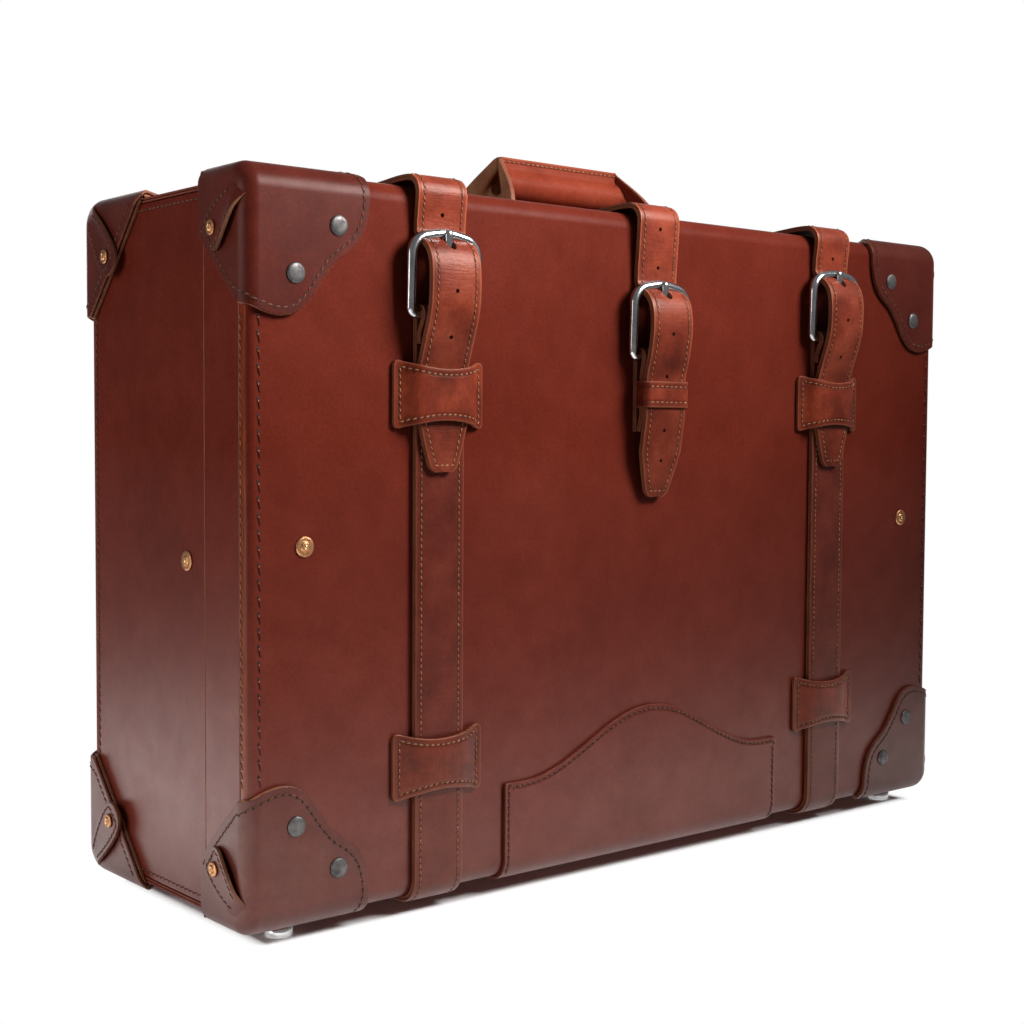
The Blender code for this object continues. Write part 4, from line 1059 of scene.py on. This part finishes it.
def makeStrap(name, body, node, path, x, look, ends=None, aroundTip=False, side=-1, halves=None, cutters=()):
    # ends says how far from the strap's two ends its stitching stops.
    halves = halves or [strapHalf] * len(path)
    obj = strapSheet(name, path, halves, x, side, strap["thick"], look, "edge", cutters)
    settle(obj, body, "strap_leather", node)
    dropObjects(cutters)
    if ends:
        stitchStrap((name, body), path, halves, x, side, ends[0], lengths(path)[-1] - ends[1], aroundTip)


def tailHalves(path):
    run = lengths(path)
    tip, turn = strap["tipWidth"] / 2, strap["tipRound"]
    halves = []
    for rest in run[-1] - run:
        half = tip + (strapHalf - tip) * min(1.0, rest / strap["taper"]) ** 0.9
        if rest < turn:
            half -= (turn - math.sqrt(max(0.0, turn**2 - (turn - rest) ** 2))) * 0.7
        halves.append(half)
    return halves


# A billet's way down: shares of the way out over the buckle's heel with drops below its bar, then the way
# inward from there with heights above the heel
billetArch = (
    (0.03, 0.0020), (0.14, 0.0038), (0.34, 0.0057), (0.58, 0.0078), (0.76, 0.0106), (0.90, 0.0148),
    (0.97, 0.0195), (1.0, 0.0255), (1.0, 0.0340),
)
overMiddle = ((0.0010, 0.0100), (0.0024, 0.0020))
overSide = ((0.0006, 0.0070), (0.0024, -0.0010), (0.0054, -0.0100), (0.0084, -strap["foldLength"]))


def billetPath(heel, tip, middle):
    top = tall + lying
    bar = heel + buckle["reach"]
    rim = case["lidDepth"]
    over = [(rim, top), (rim - strap["ramp"], top + strap["liftTop"]),
            (-lying - strap["liftFront"], top + strap["liftTop"]), (-behindOut, bar + buckle["settle"]),
            (-behindOut, bar + 0.001)]
    upper = eased(rounded(over, (0, strap["ease"], strap["bend"], strap["ease"], 0)))
    below = [(-(behindOut + (overHeel - behindOut) * share), bar - drop) for share, drop in billetArch]
    below += [(inward - overHeel, heel + rise) for inward, rise in (overMiddle if middle else overSide)]
    if middle:
        restOut = loopFrontLayer + strap["thick"] + gap
        outTip = lying + strap["tailLift"]
        start = loopLow
        settled = loopCentre + loop["height"] / 2 + loop["travel"]
        below += [(-restOut - 0.0014, settled + 0.0040), (-restOut, settled), (-restOut, start)]
    else:
        restOut = outTip = second
        start = upperKeeper + keeper["height"] / 2 - buckle["settle"]
        below += [(-restOut - 0.0022, heel - 0.0260), (-restOut, start), (-restOut, start - 0.01)]
    levels = list(np.linspace(tip + strap["taper"], tip + strap["tipRound"], 9))
    levels += [tip + strap["tipRound"] * share for share in (0.8, 0.6, 0.42, 0.28, 0.16, 0.07, 0.0)]
    tail = [Vector((-(restOut + (outTip - restOut) * (start - z) / (start - tip)), z)) for z in levels]
    below = eased([upper[-1]] + [Vector(p) for p in below] + [tail[0]], rounds=8)
    return upper + below[1:] + finer(tail, 0.002)[1:]


def prongLine(z, heel):
    foot = heelOut + eyeRadius
    return foot + (prongOut - foot) * (z - heel) / buckle["reach"]


def punch(x, path, side, heights):
    # Round punches standing square to the strap at the given heights on its front.
    outs = outwards(path, side)
    bm = bmesh.new()
    for height in heights:
        index = max(i for i, p in enumerate(path) if p.y >= height and p.x < 0.0)
        matrix = facing(place3(x, path[index]), place3(0, outs[index]))
        bmesh.ops.create_cone(bm, cap_ends=True, segments=16, radius1=punchSize["radius"],
                              radius2=punchSize["radius"], depth=punchSize["depth"], matrix=matrix)
    return objectFrom("punch", bm, finish["edge"])


def slotCutter(x, heel):
    # The hole that the prong stands in, drawn long by wear.
    middle = heel + buckle["reach"] - punchSize["slotDrop"]
    out = prongLine(middle, heel)
    half = buckle["prong"] * 1.85 + punchSize["slotSpare"]
    low = -(out + buckle["prong"] + 0.0040)
    high = -(out - buckle["prong"] - 0.0016)
    corners = ((x - half, low), (x + half, low), (x + half, high), (x - half, high))
    outline = rounded(corners, [half * 0.95] * 4, closed=True)
    bm = bmesh.new()
    bm.faces.new([bm.verts.new((a, b, middle - punchSize["slotReach"])) for a, b in outline])
    pushOut(bm, (0, 0, 2 * punchSize["slotReach"]))
    return objectFrom("slot", bm, finish["edge"])


def foldCutter(x, heel):
    half = buckle["prong"] + punchSize["slotSpare"]
    reach = eyeRadius + buckle["prong"] + 0.001
    bm = block((x - half, -heelOut - 2 * reach, heel - reach), (x + half, gap, heel + 2 * reach))
    return objectFrom("foldSlot", bm, finish["edge"])


def foldPoints(heel, turn, level):
    path = arcPoints((-heelOut, heel), foldRadius, 0, math.pi + turn, 20)
    y, z = path[-1]
    return path + [Vector((-level, z + (y + level) / math.tan(turn)))]


billets = [(hand, side * strap["spacing"], sideHeel, strap["sideTip"], "side") for side, hand in hands]
billets.append(("middle", 0.0, middleHeel, strap["middleTip"], "middle"))
for hand, x, heel, tip, kind in billets:
    path = billetPath(heel, tall - tip, kind == "middle")
    cutters = [punch(x, path, 1, [tall - drop for drop in billetHoles[kind]]), slotCutter(x, heel)]
    makeStrap(camel(f"billet_{hand}"), "lid", f"billet_{hand}", path, x, "strap",
              (strap["stitchEnd"], strap["stitch"]), True, 1, tailHalves(path), cutters)

strapCorner = case["edge"] + lying
strapBack = case["depth"] + lying
strapTop = case["baseTop"] + lying
overRim = ((rimY, tall + lying), (rimY + strap["ramp"], strapTop))
rimRadius = 2 * strap["ramp"]
lowerEnd = math.pi * foldRadius + strap["foldLength"] + strap["lowerEnd"]
for side, hand in hands:
    x = side * strap["spacing"]
    corners = ((case["lidDepth"], -lying), (-lying, -lying), (-lying, sideHeel))
    path = rounded(corners, (0, strapCorner, 0))[:-1] + foldPoints(sideHeel, strap["foldSlant"], second)
    path.append(Vector((-second, sideHeel - strap["foldLength"])))
    makeStrap(f"lowerStrap_{hand}", "lid", f"lower_strap_{hand}", finer(path, 0.012), x, "lower",
              (strap["lowerEnd"], lowerEnd), cutters=[foldCutter(x, sideHeel)])
    path = rounded((*overRim, (strapBack, strapTop), (strapBack, -lying), (rimY, -lying)),
                   (0, rimRadius, strapCorner, strapCorner, 0))
    makeStrap(f"strapBack_{hand}", "base", f"strap_back_{hand}", finer(path, 0.012), x, "lower",
              (strap["stitchEnd"], strap["stitchEnd"]))

path = [Vector((-lying, chapeBottom))] + foldPoints(middleHeel, strap["loopSlant"], loopFrontLayer)
path += [Vector((-loopFrontLayer, loopLow - loop["play"])), Vector((-second, chapeBottom + gap))]
makeStrap("middleChape", "lid", "middle_chape", finer(path, 0.008), 0.0, "lower",
          cutters=[foldCutter(0.0, middleHeel)])
path = rounded((*overRim, (strap["middleEnd"], strapTop)), (0, rimRadius, 0))
makeStrap("middleStrapEnd", "base", "middle_strap_end", finer(path, 0.008), 0.0, "strap",
          (strap["stitchEnd"], strap["stitch"]), True)
print("straps done")


# Buckles: a bent wire frame that is thinner along its heel bar, and a prong curled round that bar
def wirePiece(name, points, radii, radius, cyclic):
    curve = setAll(bpy.data.curves.new(name, "CURVE"), dimensions="3D", bevel_depth=radius,
                   bevel_resolution=5, use_fill_caps=True)
    spline = curve.splines.new("POLY")
    spline.points.add(len(points) - 1)
    for point, place, swell in zip(spline.points, points, radii):
        setAll(point, co=(*place, 1), radius=swell)
    spline.use_cyclic_u = cyclic
    source = link(f"{name}Wire", curve)
    mesh = evaluated(source)
    dropObjects([source])
    mesh.materials.clear()
    mesh.materials.append(finish["nickel"])
    mesh.polygons.foreach_set("use_smooth", [True] * len(mesh.polygons))
    return link(name, mesh)


prongRises = (0.25, 0.5, 0.7, 0.8, 0.86, 0.9, 0.94, 0.97, 0.985, 1.0)
prongSwells = [1.0, 1.0, 1.2, 1.5, 1.7, 1.8, 1.85, 1.75, 1.5, 0.9]


def makeBuckle(hand, x, heel):
    lean = (heelOut - barOut) / buckle["reach"]
    half = strapHalf + buckle["play"] + buckle["wire"]
    drop = buckle["reach"] - buckle["arch"]
    corners = ((-half, 0), (half, 0), (half, drop), (0, buckle["reach"]), (-half, drop))
    heelCorner, corner = buckle["heelCorner"], buckle["corner"]
    outline = rounded(corners, (heelCorner, heelCorner, corner, half * 2, corner), closed=True, steps=12)
    axis = Vector((x, -heelOut, heel))
    points = [axis + Vector((a, lean * b, b)) for a, b in outline]
    swell = []
    for a, b in outline:  # thin where the strap and the prong turn on it
        thin = b < 0.0004 and abs(a) < half - 0.006
        swell.append(1.0 if thin else 1.0 + buckle["swell"] * min(1.0, max(b, 0.0012) / 0.004))
    obj = wirePiece(f"buckleFrame_{hand}", points, swell, buckle["wire"], True)
    settle(obj, f"buckle_{hand}", "polished_steel", f"buckle_frame_{hand}")
    eye = arcPoints((-heelOut, heel), eyeRadius, math.pi + math.radians(buckle["eyeTurn"]), math.pi, 24)
    levels = [heel + (buckle["reach"] + buckle["over"] * 0.25) * rise for rise in prongRises]
    spine = eye + [Vector((-prongLine(z, heel), z)) for z in levels]
    swell = [1.0] * len(eye) + prongSwells
    obj = wirePiece(f"buckleProng_{hand}", [place3(x, p) for p in spine], swell, buckle["prong"], False)
    for vert in obj.data.vertices:  # the tongue is broad and flat where it rests on the bar
        if vert.co.z > heel + buckle["flatFrom"]:
            middle = prongLine(vert.co.z, heel)
            vert.co.y = -middle + (vert.co.y + middle) * buckle["flatten"]
    settle(obj, f"prong_{hand}", "polished_steel", f"buckle_prong_{hand}")


for hand, x, heel, tip, kind in billets:
    makeBuckle(hand, x, heel)
print("buckles done")


# Keepers
def makeKeeper(node, x, centre, stack):
    half = keeper["leather"] / 2
    flat = gap + half
    over = stack + keeper["overPlay"] + half
    inner = strapHalf + keeper["sidePlay"] + half
    edge = keeper["width"] / 2
    shares = np.linspace(-1, 1, 9)
    wing = [(-edge, -flat), (-inner - keeper["flare"], -flat)]
    arch = [(inner * share, keeper["sag"] * share**2 - over) for share in shares]
    bends = [keeper["bend"] if abs(share) == 1 else 0 for share in shares]
    corners = wing + arch + [(-a, b) for a, b in wing[::-1]]
    path = eased(rounded(corners, [0, keeper["bend"]] + bends + [keeper["bend"], 0], steps=8), 0.0012, 14)
    centre -= keeper["drop"]
    outs = outwards(path, 1)
    run = lengths(path)
    cols = 16
    turn = keeper["corner"]

    def tallAt(a):
        tall = keeper["height"] / 2 - keeper["waist"] * max(0.0, 1 - (a / edge) ** 2)
        rest = edge - abs(a)
        if rest < turn:  # rounded corners of the wings
            tall -= (turn - math.sqrt(max(0.0, turn**2 - (turn - rest) ** 2))) * 0.85
        return tall

    def spot(row, share):
        a, b = path[row]
        return Vector((x + a, b, centre + share * tallAt(a)))

    def outAt(row):
        out = Vector((outs[row].x, outs[row].y, 0))
        return -out if out.y > 0 else out

    def place(row, col):
        share = 2 * col / cols - 1
        high = tallAt(path[row].x)
        inward = min(high * (1 - abs(share)), edge - abs(path[row].x))
        return spot(row, share), outAt(row), inward, share * high, run[row]

    obj = leatherSheet(camel(node), len(path) - 1, cols, place, keeper["leather"], "keeper", "edge",
                       edge=keeper["edge"])
    settle(obj, "lid", "strap_leather", node)
    inset = keeper["stitch"]
    rows = [r for r in range(len(path)) if abs(path[r].x) <= edge - inset]
    ring = []
    for up, row in [(1, row) for row in rows] + [(-1, row) for row in rows[::-1]]:
        point = spot(row, up * (1 - inset / tallAt(path[row].x)))
        ring.append((point + outAt(row) * (half + proud), outAt(row)))
    stitchAlong(("keepers", "lid"), ring + ring[:1], keeper["pitch"])


for side, hand in hands:
    x = side * strap["spacing"]
    makeKeeper(f"upper_keeper_{hand}", x, upperKeeper, second + strap["thick"] / 2)
    makeKeeper(f"lower_keeper_{hand}", x, keeper["lower"], lying + strap["thick"] / 2)

# The loose keeper: a band of leather closed round the middle strap
bandOff = loop["play"] + loop["leather"] / 2
innerHalf = strapHalf + bandOff
innerBack = -(gap + strap["thick"] + bandOff)
innerFront = -(loopFrontLayer + strap["thick"] / 2 + gap + strap["thick"] + bandOff)
ring = rounded(
    ((-innerHalf, innerFront), (innerHalf, innerFront), (innerHalf, innerBack), (-innerHalf, innerBack)),
    [loop["corner"]] * 4, closed=True, steps=8,
)
bm = bmesh.new()
edgeMap, runMap = (bm.loops.layers.uv.new(layer) for layer in ("edge", "run"))
low = [bm.verts.new((a, b, loopCentre - loop["height"] / 2)) for a, b in ring]
lines = [bm.edges.new(pair) for pair in zip(low, low[1:] + low[:1])]
pushOut(bm, (0, 0, loop["height"]), bmesh.ops.extrude_edge_only, edges=lines)
rungs = [e for e in bm.edges if abs(e.verts[0].co.z - e.verts[1].co.z) > 0.001]
bmesh.ops.subdivide_edges(bm, edges=rungs, cuts=7, use_grid_fill=True)
bmesh.ops.recalc_face_normals(bm, faces=bm.faces)
for corner in (corner for face in bm.faces for corner in face.loops):
    p = corner.vert.co
    corner[edgeMap].uv = (loop["height"] / 2 - abs(p.z - loopCentre), p.x)
    corner[runMap].uv = (p.z - loopCentre, p.x)
obj = objectFrom("middleKeeper", bm, finish["keeper"], finish["edge"])
thicken(obj, loop["leather"], even=False)
addBevel(obj, loop["edge"])
settle(obj, "loose_keeper", "strap_leather", "middle_keeper")
front = sorted((p for p in ring if p.y < innerFront + 0.0004), key=lambda p: p.x)
for up in (-1, 1):
    level = loopCentre + up * (loop["height"] / 2 - loop["stitch"])
    line = seamOf((0, -1, 0), [(p.x, p.y - loop["leather"] / 2 - proud, level) for p in front])
    stitchAlong(("looseKeeper", "loose_keeper"), line, loop["pitch"])
print("keepers done")

# Scalloped panel, its hinge leaf and the fold between them
panel = {"width": 0.268, "leather": 0.0024, "shoulder": 0.064, "apex": 0.103, "bell": 0.118, "leaf": 0.060,
         "stitch": 0.0032, "pitch": 0.0048, "edge": 0.0005, "seamStart": 0.002, "leafStart": 0.006}
panelOff = gap + panel["leather"] / 2
panelPath = rounded(((case["lidDepth"], -panelOff), (-panelOff, -panelOff), (-panelOff, panel["shoulder"])),
                    (0, case["edge"] + panelOff, 0))[:-1]
panelOuts = outwards(panelPath, -1)
panelRows, panelCols = 14, 72
leafRows, leafCols = 12, 24
panelHalf = panel["width"] / 2
seamRadius = case["edge"] + gap + panel["leather"] + proud


def panelTop(x):
    bell = 0.5 * (1 + math.cos(math.pi * min(1.0, abs(x) / panel["bell"])))
    return panel["shoulder"] + (panel["apex"] - panel["shoulder"]) * bell


def panelPlace(row, col):
    x = (2 * col / panelCols - 1) * panelHalf
    if row < len(panelPath):
        inward = min(panelHalf - abs(x), 0.05)
        return place3(x, panelPath[row]), place3(0, panelOuts[row]), inward, x, panelPath[row].y
    start = panelPath[-1].y
    z = start + (panelTop(x) - start) * (row - len(panelPath) + 1) / panelRows
    inward = min(panelHalf - abs(x), max(0.0, panelTop(x) - z))
    return Vector((x, -panelOff, z)), Vector((0, -1, 0)), inward, x, z


def panelFace(x, z):
    # A point on the panel's face and its outward direction, round the bottom edge too.
    fall = max(0.0, case["edge"] - z)
    out = Vector((0, -math.sqrt(seamRadius**2 - fall**2), -fall)) / seamRadius
    return Vector((x, case["edge"] + out.y * seamRadius, z)), out


def leafPlace(row, col):
    x = (2 * col / leafCols - 1) * panelHalf
    y = rimY + panel["leaf"] * row / leafRows
    inward = min(panelHalf - abs(x), panel["leaf"] * (1 - row / leafRows))
    return Vector((x, y, -panelOff)), Vector((0, 0, -1)), inward, x, y


obj = leatherSheet("scallopedPanel", len(panelPath) - 1 + panelRows, panelCols, panelPlace, panel["leather"],
                   "panel", "bodyEdge", edge=panel["edge"])
settle(obj, "lid", "body_leather", "scalloped_panel")
inset = panel["stitch"]
seamSide = panelHalf - inset
sideLevels = np.linspace(panel["seamStart"], panel["shoulder"] - inset, 24)
seam = [panelFace(-seamSide, z) for z in sideLevels]
for x in np.linspace(-seamSide, seamSide, 60):
    slope = (panelTop(x + 0.001) - panelTop(x - 0.001)) / 0.002
    seam.append(panelFace(x, panelTop(x) - inset * math.hypot(1, slope)))
seam += [panelFace(seamSide, z) for z in sideLevels[::-1]]
stitchAlong(("panel", "lid"), seam, panel["pitch"], "brown")

obj = leatherSheet("hingeLeaf", leafRows, leafCols, leafPlace, panel["leather"], "panel", "bodyEdge",
                   edge=panel["edge"])
settle(obj, "base", "body_leather", "hinge_leaf")
first, last = rimY + panel["leafStart"], rimY + panel["leaf"] - inset
corners = ((-seamSide, first), (-seamSide, last), (seamSide, last), (seamSide, first))
seam = seamOf((0, 0, -1), [(x, y, -gap - panel["leather"] - proud) for x, y in corners])
stitchAlong(("hingeLeaf", "base"), seam, panel["pitch"], "brown")
print("panel done")

# Handle: one wide strap whose middle is rolled up into a grip with the seam on top
handle = {
    "place": 0.103, "leather": 0.0032, "rise": 0.0197, "grip": 0.0095, "neck": 0.007, "fin": 0.006,
    "gripHalf": 0.057, "rollHalf": 0.074, "rollEase": 0.8, "riseEase": 3, "half": 0.115, "stitch": 0.0030,
    "stitchEnd": 0.007, "stitchEase": 0.004, "gripPitch": 0.0046, "wingPitch": 0.0050,
}
seamHalf = handle["leather"] / 2 + gap
gripTurn = math.pi - math.asin((seamHalf + handle["neck"]) / (handle["grip"] + handle["neck"]))
gripLength = handle["grip"] * gripTurn
rollLength = gripLength + handle["neck"] * (gripTurn - quarter) + handle["fin"]


def rollTurn(along):
    if along <= gripLength:
        return along / handle["grip"]
    return max(quarter, gripTurn - (along - gripLength) / handle["neck"])


def handleSpot(x, share):
    # The point on the sheet at a place along the handle and a share of its width, and the outward direction.
    openShare = (handle["rollHalf"] - abs(x)) / (handle["rollHalf"] - handle["gripHalf"])
    curl = min(1.0, max(0.0, openShare)) ** handle["rollEase"]
    side = 1 if share >= 0.5 else -1
    steps = 60
    step = abs(2 * share - 1) * rollLength / steps
    aside, up, turn = 0.0, 0.0, 0.0
    for index in range(steps):
        turn = curl * rollTurn((index + 0.5) * step)
        aside += math.cos(turn) * step
        up += math.sin(turn) * step
    lift = case["baseTop"] + gap + handle["leather"] / 2 + handle["rise"] * curl ** handle["riseEase"]
    out = Vector((0, side * math.sin(turn), -math.cos(turn)))
    return Vector((x, handle["place"] + side * aside, lift + up)), out


def handleRows(end, wing, curl, grip):
    # Places along the handle: close together where it unrolls.
    stops = (-end, -handle["rollHalf"], -handle["gripHalf"], handle["gripHalf"], handle["rollHalf"], end)
    counts = (wing, curl, grip, curl, wing)
    rows = [np.linspace(a, b, count, endpoint=False) for a, b, count in zip(stops, stops[1:], counts)]
    return np.concatenate((*rows, (end,)))


handleStations = handleRows(handle["half"], 6, 26, 18)
handleCols = 40


def handlePlace(row, col):
    share = col / handleCols
    x = handleStations[row]
    point, out = handleSpot(x, share)
    inward = min(rollLength * (1 - abs(2 * share - 1)), handle["half"] - abs(x))
    return point, out, inward, (2 * share - 1) * rollLength, x


obj = leatherSheet("rolledHandle", len(handleStations) - 1, handleCols, handlePlace, handle["leather"],
                   "handle", "edge", inner="flesh")
settle(obj, "base", "strap_leather", "handle")
seamEnd = handle["rollHalf"] - 0.002
for side in (0, 1):
    line = []
    for x in handleRows(handle["half"] - handle["stitchEnd"], 16, 40, 50):
        wider = min(1.0, max(0.0, (abs(x) - handle["gripHalf"]) / handle["stitchEase"]))
        inset = handle["stitch"] * (1 + wider) / (2 * rollLength)
        point, out = handleSpot(x, 1 - inset if side else inset)
        line.append((point + out * (handle["leather"] / 2 + proud), out))
    stitchAlong(("handle", "base"), [(p, n) for p, n in line if abs(p.x) <= seamEnd], handle["gripPitch"])
    for end in (-1, 1):  # on the flat ends the other face shows
        wing = [(p - n * (handle["leather"] + 2 * proud), -n) for p, n in line if p.x * end > seamEnd]
        stitchAlong(("handle", "base"), wing, handle["wingPitch"])
print("handle done")

# Stitching on the walls
wallSeam = {"front": 0.008, "fold": 0.0068, "back": 0.0055, "level": 0.008, "pitch": 0.0056,
            "frontPitch": 0.0096, "rim": 0.003, "underCap": 0.012, "overlap": 0.004}
lidLevels = np.linspace(cap["size"], tall - cap["size"], 60)
sideEnd = case["depth"] - cap["baseSide"] + wallSeam["underCap"]
sideStations = np.linspace(case["lidDepth"] + wallSeam["rim"], sideEnd, 30)
backEnd = cap["baseSide"] - wallSeam["overlap"]
backLevels = np.linspace(backEnd, case["baseTop"] - backEnd, 50)
for side in (-1, 1):
    x = side * (case["half"] - wallSeam["front"])
    line = seamOf((0, -1, 0), [(x, -proud, z) for z in lidLevels])
    stitchAlong(("lidFront", "lid"), line, wallSeam["frontPitch"], "dark")
    out = (side, 0, 0)
    x = side * (case["half"] + proud)
    line = seamOf(out, [(x, wallSeam["fold"], z) for z in lidLevels])
    stitchAlong(("lidSides", "lid"), line, wallSeam["pitch"])
    x = side * (case["baseHalf"] + proud)
    levels = (wallSeam["level"], case["baseTop"] - wallSeam["level"])
    rows = [[(x, y, z) for y in sideStations] for z in levels]
    rows.append([(x, case["depth"] - wallSeam["back"], z) for z in backLevels])
    for row in rows:
        stitchAlong(("baseSides", "base"), seamOf(out, row), wallSeam["pitch"], "brown")

for (group, body, thread), bm in threads.items():
    name = f"{group}_needleHoles" if thread == "needle" else f"{group}_{thread}Stitches"
    settle(objectFrom(name, bm, finish[thread]), body, "strap_leather" if thread == "tan" else "body_leather")
for mesh in (threadTemplate, holeTemplate):
    bpy.data.meshes.remove(mesh)
print("stitching done", len(threads))

# Floor, light and camera
studio = {
    "keyPlace": (0.45, -0.75, 1.05), "keyAim": (-0.20, 0.0, 0.62),
    "keySize": 0.60, "keyPower": 6.6, "keySpread": 76,
    "fillPlace": (-1.50, 0.15, 0.45), "fillAim": (-0.33, 0.10, 0.20),
    "fillSize": 0.9, "fillPower": 8.0, "fillSpread": 180,
    "rimPlace": (0.6, 1.9, 0.45), "rimAim": (0.1, 0.1, 0.25),
    "rimSize": 2.0, "rimPower": 16.0, "rimSpread": 180,
    "ambient": 0.04, "backdrop": (0.78, 0.97), "mirrorGlow": 0.18,
    "floorSize": 0.85, "paper": (0.86, 0.86, 0.86), "paperFar": 0.012, "paperIn": 0.020, "floorGlow": 0.80,
    "floorShine": 1.40, "shineNear": 0.12, "shineFade": 0.30, "shineFar": 0.74, "leftShine": 1.25,
    "left": (-0.60, -0.34), "eye": (-0.80045, -0.81133, 0.29792), "lens": 56.313, "sensor": 36, "clip": 0.05,
}
viewRight = Vector((0.76989, -0.63815, 0.00569))
viewUp = Vector((0.02836, 0.04313, 0.9987))
viewAhead = Vector((0.63754, 0.76871, -0.05128))

for name in ("key", "fill", "rim"):
    lamp = setAll(bpy.data.lights.new(f"{name}Lamp", "AREA"), shape="DISK", size=studio[f"{name}Size"],
                  energy=studio[f"{name}Power"], spread=math.radians(studio[f"{name}Spread"]))
    place, aim = Vector(studio[f"{name}Place"]), Vector(studio[f"{name}Aim"])
    turn = (aim - place).to_track_quat("-Z", "Y").to_matrix().to_4x4()
    link(f"{name}Lamp", lamp).matrix_world = Matrix.Translation(home + place) @ turn

# The world is white to the eye. Metal sees that white where the backdrop stands, behind the case.
white = (1, 1, 1)
world = bpy.data.worlds.new("studio")
world.use_nodes = True
scene.world = world
w = Nodes(world.node_tree)
rays = w.add("ShaderNodeLightPath").outputs
direction = w.add("ShaderNodeTexCoord").outputs["Generated"]
facingBack = w.add("ShaderNodeVectorMath", {0: direction, 1: viewAhead}, operation="DOT_PRODUCT")
mirrored = w.most(rays["Is Glossy Ray"], rays["Is Transmission Ray"])
glow = w.span(facingBack.outputs["Value"], *studio["backdrop"], studio["mirrorGlow"], 1.0)
mirrored = w.times(mirrored, glow)
seen = w.most(rays["Is Camera Ray"], mirrored)
dim, bright = (w.add("ShaderNodeBackground", {"Color": white, "Strength": strength}).outputs[0]
               for strength in (studio["ambient"], 1.0))
both = w.add("ShaderNodeMixShader", {0: seen, 1: dim, 2: bright})
w.put(w.tree.nodes["World Output"].inputs["Surface"], both.outputs[0])

# A sheet of pale paper. Away from the case the eye looks through it to the white beyond, and to a lid
# hung below it.
bm = bmesh.new()
bmesh.ops.create_grid(bm, x_segments=8, y_segments=8, size=studio["floorSize"])
p = Surface("FloorPaper")
rays = p.add("ShaderNodeLightPath").outputs
awayX, awayY = (
    p.most(p.maths("SUBTRACT", p.maths("ABSOLUTE", p.axis(p.where, axis)), half - studio["paperIn"]), 0.0)
    for axis, half in (("X", case["half"]), ("Y", case["depth"] / 2))
)
away = p.maths("SQRT", p.maths("ADD", p.maths("POWER", awayX, 2.0), p.maths("POWER", awayY, 2.0)))
# painted reflection: the paper glows for glossy rays only, near the case and more on its left, to put sheen
# low on the case's front and left side
mirrored = p.most(rays["Is Glossy Ray"], rays["Is Transmission Ray"])
shine = p.times(p.span(away, studio["shineFade"], studio["shineFar"], studio["floorShine"], 0.0), mirrored)
shine = p.times(shine, p.span(away, 0.0, studio["shineNear"], 0.3, 1.0))
leftShine = p.times(p.span(p.axis(p.where, "X"), *studio["left"], studio["leftShine"], 0.0), mirrored)
shine = p.maths("ADD", shine, leftShine)
seen = p.times(p.span(away, 0.0, 0.01, 0.0, studio["floorGlow"]), rays["Is Camera Ray"])
glow = p.add("ShaderNodeEmission", {"Color": white, "Strength": p.maths("ADD", shine, seen)})
sheet = p.add("ShaderNodeAddShader", {0: p.shader.outputs[0], 1: glow.outputs[0]})
clear = p.times(p.span(away, 0.0, studio["paperFar"]), p.most(rays["Is Camera Ray"], rays["Is Shadow Ray"]))
through = p.add("ShaderNodeBsdfTransparent")
both = p.add("ShaderNodeMixShader", {0: clear, 1: sheet.outputs[0], 2: through.outputs[0]})
p.put(p.tree.nodes["Material Output"].inputs["Surface"], both.outputs[0])
paper = p.feed({"Base Color": studio["paper"], "Specular IOR Level": 0.1,
                "Roughness": p.span(p.noise(p.where, 30, 3.0, 0.5), 0.3, 0.7, 0.85, 0.95)})
floor = objectFrom("floor", bm, paper)

camera = setAll(bpy.data.cameras.new("camera"), lens=studio["lens"], sensor_width=studio["sensor"],
                clip_start=studio["clip"])
scene.camera = link("camera", camera)
turn = Matrix((viewRight, viewUp, -viewAhead)).transposed().to_4x4()
scene.camera.matrix_world = Matrix.Translation(home + Vector(studio["eye"])) @ turn
print("studio ready")
